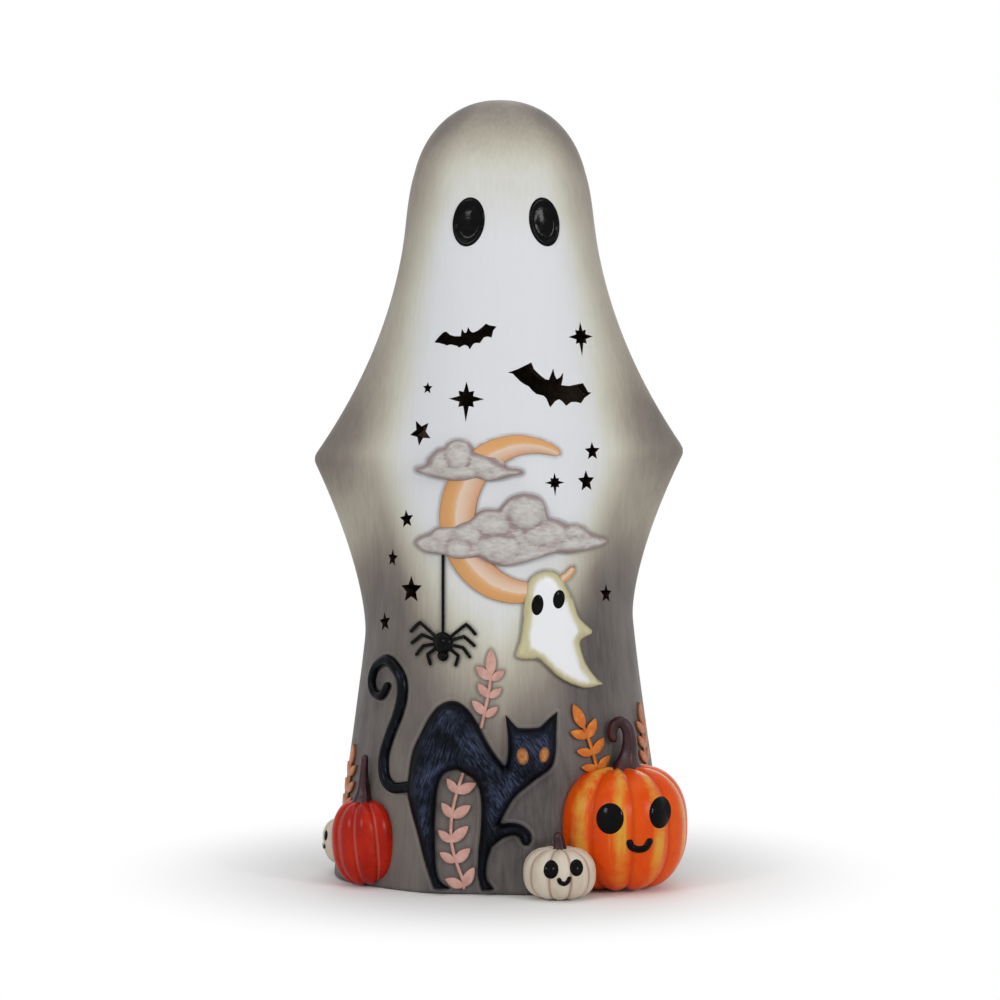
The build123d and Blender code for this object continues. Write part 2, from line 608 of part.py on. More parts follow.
# Cat: an arched back, a lifted paw and a curled tail
cat_skin = body_form(CAT_RELIEF, 0)
with BuildPart() as cat:
    with BuildSketch(front):
        with BuildLine():
            Spline(*CAT_BACK)
            Polyline(*CAT_EARS)
            Spline(*CAT_JAW)
            Spline(*CAT_CHEST)
            Spline(*CAT_PAW)
            Spline(*CAT_FRONT_LEG)
            Line(*CAT_FRONT_FOOT)
            Spline(*CAT_LEG_BACK)
            Spline(*CAT_BELLY)
            Spline(*CAT_HIND_LEG)
            Line(CAT_HIND_LEG[-1], CAT_BACK[0])
        make_face()
    extrude(amount=-relief_depth)
    add(cat_skin, mode=Mode.INTERSECT)
    add(ghost_outer, mode=Mode.SUBTRACT)
cat.part.label = "cat"

cat_eye_skin = body_form(CAT_RELIEF + PAINTED_INLAY, 0)
with BuildPart() as cat_eyes:
    with BuildSketch(front):
        with Locations(*CAT_EYES):
            Ellipse(CAT_EYE_HALF_WIDTH, CAT_EYE_HALF_HEIGHT)
    extrude(amount=-relief_depth)
    add(cat_eye_skin, mode=Mode.INTERSECT)
    add(cat_skin, mode=Mode.SUBTRACT)
cat_eyes.part.label = "cat_eyes"

tail_skin = body_form(TAIL_RELIEF, 0)
with BuildPart() as cat_tail:
    with BuildSketch(facing_plane(TAIL_AZIMUTH)):
        with BuildLine() as tail_line:
            Spline(*TAIL_LINE)
        trace(tail_line.line, line_width=TAIL_WIDTH)
        with Locations(TAIL_LINE[-1]):
            Circle(TAIL_WIDTH / 2)
    extrude(amount=-relief_depth)
    add(tail_skin, mode=Mode.INTERSECT)
    add(ghost_outer, mode=Mode.SUBTRACT)
    add(cat.part, mode=Mode.SUBTRACT)
cat_tail.part.label = "cat_tail"


def pumpkin_form(half_width, half_height, grow=0.0):
    """A ribbed pumpkin about its own centre, with a flat crown and foot."""
    count = PUMPKIN_RIBS * RIB_POINTS
    with BuildPart() as form:
        for angle in PUMPKIN_ANGLES:
            level = sin(radians(angle))
            girth = (1 - abs(level) ** PUMPKIN_FULLNESS) ** (1 / PUMPKIN_FULLNESS)
            with BuildSketch(Plane.XY.offset((half_height + grow) * level)):
                with BuildLine():
                    points = []
                    for step in range(count):
                        turn = 2 * pi * step / count
                        rib = 1 - PUMPKIN_GROOVE * (1 - abs(cos(PUMPKIN_RIBS * turn / 2)))
                        radius = (half_width + grow) * girth * rib
                        points.append((radius * cos(turn), radius * sin(turn)))
                    closed_spline(points)
                make_face()
        loft()
    return form.part


def pumpkin_seat(azimuth, height, proud, half_width, half_height, lean):
    """Plane at a pumpkin's centre, its Z up the pumpkin's own axis."""
    turn = radians(lean)
    centre = surface(azimuth, height, proud)
    return Plane(origin=centre, x_dir=(cos(turn), 0, -sin(turn)), z_dir=(sin(turn), 0, cos(turn)))


def seated_pumpkin(spec, *neighbours, grow=0.0):
    """A pumpkin in its place, cut to the body, the ground and the pieces that it leans on."""
    form = pumpkin_form(spec[3], spec[4], grow)
    with BuildPart() as seated:
        with Locations(pumpkin_seat(*spec)):
            add(form)
        add(ghost_outer, mode=Mode.SUBTRACT)
        for neighbour in neighbours:
            add(neighbour, mode=Mode.SUBTRACT)
        with BuildSketch(Plane.XY):
            Rectangle(2 * FRONT_REACH, 2 * FRONT_REACH)
        extrude(amount=-FRONT_REACH, mode=Mode.SUBTRACT)
    return seated.part


def pumpkin_stem(spec, profile, pumpkin):
    """A tapering, bent stem on a pumpkin's crown: a loft through circles along its line."""
    seat = pumpkin_seat(*spec)
    crown = seat.origin + seat.z_dir * spec[4]
    with BuildLine() as middle:
        Spline(*[crown + seat.x_dir * sideways + seat.z_dir * rise for sideways, rise, _ in profile])
    with BuildPart() as stem:
        for step in range(STEM_SECTIONS + 1):
            share = step / STEM_SECTIONS
            place = share * (len(profile) - 1)
            number = min(int(place), len(profile) - 2)
            lower, upper = profile[number][2], profile[number + 1][2]
            with BuildSketch(Plane(origin=middle.line @ share, x_dir=seat.y_dir, z_dir=middle.line % share)):
                Circle(lower + (upper - lower) * (place - number))
        loft()
        add(pumpkin, mode=Mode.SUBTRACT)
        add(ghost_outer, mode=Mode.SUBTRACT)
    return stem.part


def pumpkin_face(spec, azimuth, eyes, smile, pumpkin, *neighbours):
    """Two oval eyes and a smile, standing a little proud of a pumpkin's ribs."""
    grown = seated_pumpkin(spec, *neighbours, grow=PAINTED_INLAY)
    plane = facing_plane(azimuth)
    left, low, right = smile
    with BuildPart() as face:
        with BuildSketch(plane):
            for x, height, half_width, half_height in eyes:
                with Locations((x, height)):
                    Ellipse(half_width, half_height)
            with BuildLine():
                ThreePointArc(left, low, right)
                ThreePointArc(right, (low[0], low[1] + SMILE_THICKNESS), left)
            make_face()
        extrude(amount=-(FRONT_REACH - pumpkin_seat(*spec).origin.dot(plane.z_dir)))
        add(grown, mode=Mode.INTERSECT)
        add(pumpkin, mode=Mode.SUBTRACT)
    return face.part


# Pumpkins: the large one first, and the others cut to what they lean on
large_pumpkin = seated_pumpkin(LARGE_PUMPKIN)
large_pumpkin.label = "large_pumpkin"
large_pumpkin_stem = pumpkin_stem(LARGE_PUMPKIN, LARGE_STEM, large_pumpkin)
large_pumpkin_stem.label = "large_pumpkin_stem"
large_pumpkin_face = pumpkin_face(LARGE_PUMPKIN, 0, LARGE_FACE_EYES, LARGE_FACE_SMILE, large_pumpkin)
large_pumpkin_face.label = "large_pumpkin_face"
white_pumpkin = seated_pumpkin(WHITE_PUMPKIN, large_pumpkin)
white_pumpkin.label = "white_pumpkin"
white_pumpkin_stem = pumpkin_stem(WHITE_PUMPKIN, WHITE_STEM, white_pumpkin)
white_pumpkin_stem.label = "white_pumpkin_stem"
white_pumpkin_face = pumpkin_face(
    WHITE_PUMPKIN, 0, WHITE_FACE_EYES, WHITE_FACE_SMILE, white_pumpkin, large_pumpkin
)
white_pumpkin_face.label = "white_pumpkin_face"
red_pumpkin = seated_pumpkin(RED_PUMPKIN)
red_pumpkin.label = "red_pumpkin"
red_pumpkin_stem = pumpkin_stem(RED_PUMPKIN, RED_STEM, red_pumpkin)
red_pumpkin_stem.label = "red_pumpkin_stem"
side_pumpkin = seated_pumpkin(SIDE_PUMPKIN, red_pumpkin)
side_pumpkin.label = "side_pumpkin"
side_pumpkin_stem = pumpkin_stem(SIDE_PUMPKIN, SIDE_STEM, side_pumpkin)
side_pumpkin_stem.label = "side_pumpkin_stem"
side_pumpkin_face = pumpkin_face(
    SIDE_PUMPKIN, SIDE_FACE_AZIMUTH, SIDE_FACE_EYES, SIDE_FACE_SMILE, side_pumpkin, red_pumpkin
)
side_pumpkin_face.label = "side_pumpkin_face"


def leaf(root, direction, length):
    """Draws a pointed leaf between two arcs."""
    tip = root + direction * length
    across = Vector(-direction.Y, direction.X) * (length * LEAF_FULLNESS)
    middle = (root + tip) * 0.5
    with BuildLine() as outline:
        ThreePointArc(root, middle + across, tip)
        ThreePointArc(tip, middle - across, root)
    make_face(outline.edges())


def sprig(spec, *neighbours):
    """A bowed stem with pairs of leaves and one at its tip, cut to what it grows behind."""
    azimuth, foot, top, bow, pairs, leaf_length = spec
    with BuildPart() as form:
        with BuildSketch(facing_plane(azimuth)):
            with BuildLine() as stem:
                SagittaArc(foot, top, bow)
            trace(stem.line, line_width=SPRIG_STEM_WIDTH)
            leaf(stem.line @ 1 - stem.line % 1 * LEAF_OVERLAP, stem.line % 1, leaf_length + LEAF_OVERLAP)
            for pair in range(pairs):
                place = 1 - (pair + TOP_PAIR_DROP) / pairs
                for side in (-1, 1):
                    direction = (stem.line % place).rotate(Axis.Z, side * LEAF_SPREAD)
                    leaf(stem.line @ place, direction, leaf_length)
        extrude(amount=-relief_depth)
        add(leaf_skin, mode=Mode.INTERSECT)
        add(ghost_outer, mode=Mode.SUBTRACT)
        for neighbour in neighbours:
            add(neighbour, mode=Mode.SUBTRACT)
    return form.part


leaf_skin = body_form(LEAF_RELIEF, 0)
upper_pink_sprig = sprig(UPPER_PINK_SPRIG, cat.part)
upper_pink_sprig.label = "upper_pink_sprig"
lower_pink_sprig = sprig(LOWER_PINK_SPRIG, cat.part)
lower_pink_sprig.label = "lower_pink_sprig"
orange_sprig = sprig(ORANGE_SPRIG, large_pumpkin, large_pumpkin_stem)
orange_sprig.label = "orange_sprig"
left_side_sprig = sprig(LEFT_SIDE_SPRIG, red_pumpkin, red_pumpkin_stem, side_pumpkin, side_pumpkin_stem)
left_side_sprig.label = "left_side_sprig"
right_side_sprig = sprig(RIGHT_SIDE_SPRIG, large_pumpkin, large_pumpkin_stem)
right_side_sprig.label = "right_side_sprig"

# Light housing: a flanged cup with the battery bay, the door's recess, the screw boss and the switch's slot
door_length = bay_length + 2 * DOOR_LEDGE
door_width = bay_width + 2 * DOOR_LEDGE
door_tab_place = (0, (door_width + DOOR_TAB_LENGTH) / 2)
screw_place = (0, bay_width / 2 + BAY_WALL + SCREW_BOSS_RADIUS)
switch_place = (0, -(bay_width / 2 + BAY_WALL + SWITCH_WALL_GAP + SWITCH_WIDTH / 2))
slot_length = SLIDER_KNOB_LENGTH + SWITCH_TRAVEL + 2 * SLIDER_CLEARANCE
slot_width = SLIDER_KNOB_WIDTH + 2 * SLIDER_CLEARANCE
boss_top = FLANGE_RECESS + SCREW_LENGTH + 2 * BAY_WALL
board_bottom = bay_roof + BOARD_STANDOFF
board_top = board_bottom + BOARD_THICKNESS
post_places = ((-BOARD_POST_SPACING / 2, 0), (BOARD_POST_SPACING / 2, 0))
tail_x = bay_length / 2 - CONTACT_THICKNESS / 2
cell_y = (CELL_DIAMETER + CELL_CLEARANCE) / 2
with BuildPart() as light_housing:
    with BuildSketch(Plane.XY.offset(FLANGE_RECESS)):
        Circle(flange_radius)
    extrude(amount=FLANGE_THICKNESS)
    with BuildSketch(Plane.XY.offset(flange_top)):
        Circle(cup_radius)
        Circle(cup_radius - CUP_WALL, mode=Mode.SUBTRACT)
    extrude(amount=CUP_HEIGHT)
    with BuildSketch(Plane.XY.offset(flange_top)):
        Rectangle(bay_length + 2 * BAY_WALL, bay_width + 2 * BAY_WALL)
    extrude(amount=bay_roof - flange_top)
    with BuildSketch(Plane.XY.offset(flange_top)):
        with Locations(screw_place):
            Circle(SCREW_BOSS_RADIUS)
    extrude(amount=boss_top - flange_top)
    with BuildSketch(Plane.XY.offset(bay_roof)):
        with Locations(*post_places):
            Circle(BOARD_POST_RADIUS)
    extrude(amount=BOARD_STANDOFF)
    with BuildSketch(Plane.XY.offset(FLANGE_RECESS)):
        Rectangle(bay_length, bay_width)
    extrude(amount=bay_ceiling - FLANGE_RECESS, mode=Mode.SUBTRACT)
    with BuildSketch(Plane.XY.offset(FLANGE_RECESS)):
        Rectangle(door_length, door_width)
        with Locations(door_tab_place):
            Rectangle(DOOR_TAB_WIDTH, DOOR_TAB_LENGTH)
    extrude(amount=DOOR_THICKNESS + DOOR_CLEARANCE, mode=Mode.SUBTRACT)
    with BuildSketch(Plane.XY.offset(FLANGE_RECESS)):
        with Locations(screw_place):
            Circle(SCREW_SHANK_RADIUS + SCREW_CLEARANCE)
    extrude(amount=SCREW_LENGTH + BAY_WALL, mode=Mode.SUBTRACT)
    with BuildSketch(Plane.XY.offset(FLANGE_RECESS)):
        with Locations(switch_place):
            Rectangle(slot_length, slot_width)
    extrude(amount=FLANGE_THICKNESS, mode=Mode.SUBTRACT)
    with BuildSketch(Plane.XY.offset(board_bottom - BOARD_SCREW_GRIP - SCREW_CLEARANCE)):
        with Locations(*post_places):
            Circle(BOARD_SCREW_RADIUS + SCREW_CLEARANCE)
    extrude(amount=BOARD_STANDOFF, mode=Mode.SUBTRACT)
    with BuildSketch(Plane.XY.offset(bay_ceiling)):
        with Locations((tail_x, cell_y), (tail_x, -cell_y)):
            Rectangle(CONTACT_THICKNESS + 2 * INLAY_CLEARANCE, CONTACT_TAIL_WIDTH + 2 * INLAY_CLEARANCE)
    extrude(amount=BAY_WALL, mode=Mode.SUBTRACT)
light_housing.part.label = "light_housing"

# Grip ring: a soft ring round the cup, just above its flange
with BuildPart() as grip_ring:
    with BuildSketch(Plane.XY.offset(flange_top)):
        Circle(cup_radius + GRIP_RING_THICKNESS)
        Circle(cup_radius + INLAY_CLEARANCE, mode=Mode.SUBTRACT)
    extrude(amount=GRIP_RING_HEIGHT)
grip_ring.part.label = "grip_ring"

# Housing cover: the cup's top, with a spigot inside the cup and a hole for the lamp
with BuildPart() as housing_cover:
    with BuildSketch(Plane.XY.offset(cup_top)):
        Circle(cup_radius)
    extrude(amount=COVER_THICKNESS)
    with BuildSketch(Plane.XY.offset(cup_top - COVER_SPIGOT)):
        Circle(cup_radius - CUP_WALL - COVER_CLEARANCE)
        Circle(cup_radius - 2 * CUP_WALL - COVER_CLEARANCE, mode=Mode.SUBTRACT)
    extrude(amount=COVER_SPIGOT)
    with BuildSketch(Plane.XY.offset(cup_top)):
        Circle(LAMP_RADIUS + LAMP_CLEARANCE)
    extrude(amount=COVER_THICKNESS, mode=Mode.SUBTRACT)
housing_cover.part.label = "housing_cover"

# Battery door: a plate with a screw tab, flush with the flange's underside
with BuildPart() as battery_door:
    with BuildSketch(Plane.XY.offset(FLANGE_RECESS)):
        Rectangle(door_length - 2 * DOOR_CLEARANCE, door_width - 2 * DOOR_CLEARANCE)
        with Locations((door_tab_place[0], door_tab_place[1] - DOOR_CLEARANCE)):
            Rectangle(DOOR_TAB_WIDTH - 2 * DOOR_CLEARANCE, DOOR_TAB_LENGTH)
    extrude(amount=DOOR_THICKNESS)
    with BuildSketch(Plane.XY.offset(FLANGE_RECESS)):
        with Locations(screw_place):
            Circle(SCREW_SHANK_RADIUS + INLAY_CLEARANCE)
    extrude(amount=DOOR_THICKNESS, mode=Mode.SUBTRACT)
    with BuildSketch(Plane.XY.offset(FLANGE_RECESS)):
        with Locations(screw_place):
            Circle(SCREW_HEAD_RADIUS + INLAY_CLEARANCE)
    extrude(amount=SCREW_HEAD_HEIGHT, mode=Mode.SUBTRACT)
battery_door.part.label = "battery_door"

# Door screw: a captive pan-head screw with a cross slot
with BuildPart() as door_screw:
    with BuildSketch(Plane.XY.offset(FLANGE_RECESS)):
        with Locations(screw_place):
            Circle(SCREW_HEAD_RADIUS)
    extrude(amount=SCREW_HEAD_HEIGHT)
    with BuildSketch(Plane.XY.offset(FLANGE_RECESS)):
        with Locations(screw_place):
            Circle(SCREW_SHANK_RADIUS)
    extrude(amount=SCREW_LENGTH)
    with BuildSketch(Plane.XY.offset(FLANGE_RECESS)):
        with Locations(screw_place):
            Rectangle(SCREW_CROSS_LENGTH, SCREW_CROSS_WIDTH)
            Rectangle(SCREW_CROSS_WIDTH, SCREW_CROSS_LENGTH)
    extrude(amount=SCREW_HEAD_HEIGHT / 2, mode=Mode.SUBTRACT)
door_screw.part.label = "door_screw"

# Batteries: two cells side by side, turned opposite ways, each with its button
with BuildPart() as batteries:
    for side in (-1, 1):
        end_plane = Plane(
            origin=(-side * CELL_LENGTH / 2, side * cell_y, cell_axis_height),
            x_dir=(0, 1, 0),
            z_dir=(side, 0, 0),
        )
        with BuildSketch(end_plane):
            Circle(CELL_DIAMETER / 2)
        extrude(amount=CELL_LENGTH - CELL_BUTTON_LENGTH)
        with BuildSketch(end_plane.offset(CELL_LENGTH - CELL_BUTTON_LENGTH)):
            Circle(CELL_BUTTON_RADIUS)
        extrude(amount=CELL_BUTTON_LENGTH)
batteries.part.label = "batteries"

# Battery contacts: one plate that bridges the cells and two with a tail through the bay's roof
with BuildPart() as battery_contacts:
    with BuildSketch(Plane.YZ.offset(-bay_length / 2)):
        with Locations((0, cell_axis_height)):
            Rectangle(CONTACT_WIDTH + 2 * cell_y, CONTACT_HEIGHT)
    extrude(amount=CONTACT_THICKNESS)
    with BuildSketch(Plane.YZ.offset(bay_length / 2)):
        with Locations((-cell_y, cell_axis_height), (cell_y, cell_axis_height)):
            Rectangle(CONTACT_WIDTH, CONTACT_HEIGHT)
    extrude(amount=-CONTACT_THICKNESS)
    with BuildSketch(Plane.XY.offset(cell_axis_height)):
        with Locations((tail_x, cell_y), (tail_x, -cell_y)):
            Rectangle(CONTACT_THICKNESS, CONTACT_TAIL_WIDTH)
    extrude(amount=bay_roof + CONTACT_TAIL_RISE - cell_axis_height)
    for end in (-1, 1):
        bump_plane = Plane(
            origin=(end * (bay_length / 2 - CONTACT_THICKNESS), 0, cell_axis_height),
            x_dir=(0, 1, 0),
            z_dir=(-end, 0, 0),
        )
        with BuildSketch(bump_plane):
            with Locations((-cell_y, 0), (cell_y, 0)):
                Circle(CONTACT_BUMP_RADIUS)
        extrude(amount=CONTACT_BUMP, taper=30)
battery_contacts.part.label = "battery_contacts"

# Circuit board on its two posts, with holes for its screws and the lamp's legs
leg_places = ((0, -LAMP_LEG_SPACING / 2), (0, LAMP_LEG_SPACING / 2))
with BuildPart() as circuit_board:
    with BuildSketch(Plane.XY.offset(board_bottom)):
        Rectangle(BOARD_LENGTH, BOARD_WIDTH)
        with Locations(*post_places):
            Circle(BOARD_SCREW_RADIUS + SCREW_CLEARANCE, mode=Mode.SUBTRACT)
        with Locations(*leg_places):
            Rectangle(
                LAMP_LEG_WIDTH + 2 * INLAY_CLEARANCE, LAMP_LEG_WIDTH + 2 * INLAY_CLEARANCE, mode=Mode.SUBTRACT
            )
    extrude(amount=BOARD_THICKNESS)
circuit_board.part.label = "circuit_board"

with BuildPart() as board_screws:
    with BuildSketch(Plane.XY.offset(board_top)):
        with Locations(*post_places):
            Circle(BOARD_SCREW_HEAD_RADIUS)
    extrude(amount=BOARD_SCREW_HEAD_HEIGHT)
    with BuildSketch(Plane.XY.offset(board_bottom - BOARD_SCREW_GRIP)):
        with Locations(*post_places):
            Circle(BOARD_SCREW_RADIUS)
    extrude(amount=BOARD_SCREW_GRIP + BOARD_THICKNESS)
board_screws.part.label = "board_screws"

with BuildPart() as resistor:
    with Locations((*RESISTOR_PLACE, board_top + RESISTOR_SIZE[2] / 2)):
        Box(*RESISTOR_SIZE)
resistor.part.label = "resistor"

# LED lamp: a rimmed, round-topped body on two square legs
with BuildPart() as led_lamp:
    with BuildSketch(Plane.XY.offset(board_top)):
        Circle(LAMP_RIM_RADIUS)
    extrude(amount=LAMP_RIM_HEIGHT)
    with BuildSketch(Plane.XY.offset(board_top)):
        Circle(LAMP_RADIUS)
    extrude(amount=LAMP_HEIGHT - LAMP_RADIUS)
    with Locations((0, 0, board_top + LAMP_HEIGHT - LAMP_RADIUS)):
        Sphere(LAMP_RADIUS)
    with BuildSketch(Plane.XY.offset(board_bottom - LAMP_LEG_DROP)):
        with Locations(*leg_places):
            Rectangle(LAMP_LEG_WIDTH, LAMP_LEG_WIDTH)
    extrude(amount=LAMP_LEG_DROP + BOARD_THICKNESS)
led_lamp.part.label = "led_lamp"

# Light diffuser: a frosted dome with a foot ring on the cover
diffuser_base = cup_top + COVER_THICKNESS
on_its_base = (Align.CENTER, Align.CENTER, Align.MIN)
with BuildPart() as light_diffuser:
    with BuildSketch(Plane.XY.offset(diffuser_base)):
        Circle(DIFFUSER_FOOT_RADIUS)
    extrude(amount=DIFFUSER_FOOT_THICKNESS)
    with Locations((0, 0, diffuser_base)):
        Sphere(DIFFUSER_RADIUS, arc_size1=0, align=on_its_base)
        Sphere(DIFFUSER_RADIUS - DIFFUSER_WALL, arc_size1=0, align=on_its_base, mode=Mode.SUBTRACT)
light_diffuser.part.label = "light_diffuser"

# Slide switch: a case on the flange, and a slider whose knob reaches down through the slot
cavity_length = SLIDER_FOOT_LENGTH + SWITCH_TRAVEL + 2 * SLIDER_CLEARANCE
cavity_width = SWITCH_WIDTH - 2 * SWITCH_SKIN
with BuildPart() as switch_body:
    with BuildSketch(Plane.XY.offset(flange_top)):
        with Locations(switch_place):
            Rectangle(SWITCH_LENGTH, SWITCH_WIDTH)
    extrude(amount=SWITCH_HEIGHT)
    with BuildSketch(Plane.XY.offset(flange_top)):
        with Locations(switch_place):
            Rectangle(cavity_length, cavity_width)
    extrude(amount=SLIDER_FOOT_HEIGHT + 2 * SLIDER_CLEARANCE, mode=Mode.SUBTRACT)
switch_body.part.label = "switch_body"

slider_place = (switch_place[0] - SWITCH_TRAVEL / 2, switch_place[1])
knob_bottom = FLANGE_RECESS - SLIDER_KNOB_DROP
foot_bottom = flange_top + SLIDER_CLEARANCE
with BuildPart() as switch_slider:
    with BuildSketch(Plane.XY.offset(foot_bottom)):
        with Locations(slider_place):
            Rectangle(SLIDER_FOOT_LENGTH, cavity_width - 2 * SLIDER_CLEARANCE)
    extrude(amount=SLIDER_FOOT_HEIGHT)
    with BuildSketch(Plane.XY.offset(knob_bottom)):
        with Locations(slider_place):
            Rectangle(SLIDER_KNOB_LENGTH, SLIDER_KNOB_WIDTH)
    extrude(amount=foot_bottom - knob_bottom)
switch_slider.part.label = "switch_slider"

# Lead wires: contact to board, contact to switch and switch to board
wire_level = bay_roof + WIRE_LIFT
wire_start = tail_x - CONTACT_THICKNESS / 2
switch_top = flange_top + SWITCH_HEIGHT
board_edge = BOARD_LENGTH / 2 - 2 * WIRE_RADIUS
board_side = BOARD_WIDTH / 2 - 2 * WIRE_RADIUS
contact_to_board = (
    (wire_start, cell_y, wire_level),
    (board_edge, cell_y, wire_level),
    (board_edge, cell_y, board_bottom),
)
contact_to_switch = (
    (wire_start, -cell_y, wire_level),
    (board_edge + WIRE_SWEEP, -cell_y, wire_level),
    (board_edge, switch_place[1], wire_level),
    (TERMINAL_SPACING / 2, switch_place[1], wire_level),
    (TERMINAL_SPACING / 2, switch_place[1], switch_top),
)
switch_to_board = (
    (-TERMINAL_SPACING / 2, switch_place[1], switch_top),
    (-TERMINAL_SPACING / 2, switch_place[1], wire_level),
    (-TERMINAL_SPACING / 2, -board_side, wire_level),
    (-TERMINAL_SPACING / 2, -board_side, board_bottom),
)
with BuildPart() as lead_wires:
    for route in (contact_to_board, contact_to_switch, switch_to_board):
        with BuildLine() as wire_line:
            FilletPolyline(*route, radius=WIRE_BEND)
        with BuildSketch(Plane(origin=route[0], z_dir=wire_line.line % 0)):
            Circle(WIRE_RADIUS)
        sweep(path=wire_line.line)
lead_wires.part.label = "lead_wires"

pieces = [
    ghost_body.part,
    left_eye,
    right_eye,
    moon.part,
    upper_cloud,
    lower_cloud,
    spider.part,
    spider_thread.part,
    small_ghost.part,
    small_ghost_eyes.part,
    cat.part,
    cat_eyes.part,
    cat_tail.part,
    upper_pink_sprig,
    lower_pink_sprig,
    orange_sprig,
    left_side_sprig,
    right_side_sprig,
    large_pumpkin,
    large_pumpkin_stem,
    large_pumpkin_face,
    white_pumpkin,
    white_pumpkin_stem,
    white_pumpkin_face,
    red_pumpkin,
    red_pumpkin_stem,
    side_pumpkin,
    side_pumpkin_stem,
    side_pumpkin_face,
    light_housing.part,
    grip_ring.part,
    housing_cover.part,
    battery_door.part,
    door_screw.part,
    batteries.part,
    battery_contacts.part,
    circuit_board.part,
    board_screws.part,
    resistor.part,
    led_lamp.part,
    light_diffuser.part,
    switch_body.part,
    switch_slider.part,
    lead_wires.part,
]
os.makedirs("parts", exist_ok=True)
for piece in pieces:
    export_step(piece, f"parts/{piece.label}.step")
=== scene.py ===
from math import cos, pi, radians, sin

import bpy
import numpy as np
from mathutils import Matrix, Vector
from mathutils.bvhtree import BVHTree
from mathutils.kdtree import KDTree


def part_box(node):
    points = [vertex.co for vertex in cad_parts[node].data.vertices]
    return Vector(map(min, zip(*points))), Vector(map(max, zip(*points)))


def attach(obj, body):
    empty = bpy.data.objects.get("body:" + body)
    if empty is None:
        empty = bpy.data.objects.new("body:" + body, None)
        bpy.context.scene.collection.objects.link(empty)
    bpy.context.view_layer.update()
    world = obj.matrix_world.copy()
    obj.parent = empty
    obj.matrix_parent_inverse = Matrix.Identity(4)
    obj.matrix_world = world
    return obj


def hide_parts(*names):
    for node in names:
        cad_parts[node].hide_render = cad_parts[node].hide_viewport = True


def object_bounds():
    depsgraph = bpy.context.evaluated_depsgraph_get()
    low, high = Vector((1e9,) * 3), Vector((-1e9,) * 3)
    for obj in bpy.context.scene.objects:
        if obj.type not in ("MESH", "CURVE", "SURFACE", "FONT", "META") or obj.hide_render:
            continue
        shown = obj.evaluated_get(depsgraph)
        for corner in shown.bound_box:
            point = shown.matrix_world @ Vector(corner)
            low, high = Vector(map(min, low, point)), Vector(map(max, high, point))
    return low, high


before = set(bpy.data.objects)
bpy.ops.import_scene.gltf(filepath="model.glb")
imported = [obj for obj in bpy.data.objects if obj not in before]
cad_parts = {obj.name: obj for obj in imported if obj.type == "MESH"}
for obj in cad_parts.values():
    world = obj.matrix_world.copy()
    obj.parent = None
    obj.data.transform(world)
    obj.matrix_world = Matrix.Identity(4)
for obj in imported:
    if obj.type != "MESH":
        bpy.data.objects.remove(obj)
cad_low, cad_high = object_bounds()
scene = bpy.context.scene
scene.view_settings.view_transform = "Standard"


# Camera: a long lens at the height of the ghost's eyes, square to its front and looking a little down. It
# stands far enough away that the figure's sides stay nearly upright.
CAMERA_PLACE = Vector((0, -1.2, 0.205))
CAMERA_TARGET = Vector((0, 0, 0.1164))
CAMERA_LENS, CAMERA_RANGE = 139.5, 20
bpy.ops.object.select_all(action="DESELECT")
bpy.ops.object.camera_add(location=CAMERA_PLACE)
scene.camera = bpy.context.object
scene.camera.rotation_euler = (CAMERA_TARGET - CAMERA_PLACE).to_track_quat("-Z", "Y").to_euler()
scene.camera.data.lens = CAMERA_LENS
scene.camera.data.clip_end = CAMERA_RANGE


# Studio: a pale sweep that fades to white away from the figure, a soft box on each side, one above and one
# behind. The floor keeps the figure's own shadow.
STUDIO_WHITE = 1.0
WORLD_LIGHT = 0.44
FLOOR_SIZE = 6.0
FLOOR_FADE = (0.045, 0.13)


def rgb(code):
    """A colour from its six-digit code, as the linear values that a shader takes."""
    shares = [int(code[i : i + 2], 16) / 255 for i in (0, 2, 4)]
    return tuple(s / 12.92 if s <= 0.04045 else ((s + 0.055) / 1.055) ** 2.4 for s in shares) + (1.0,)


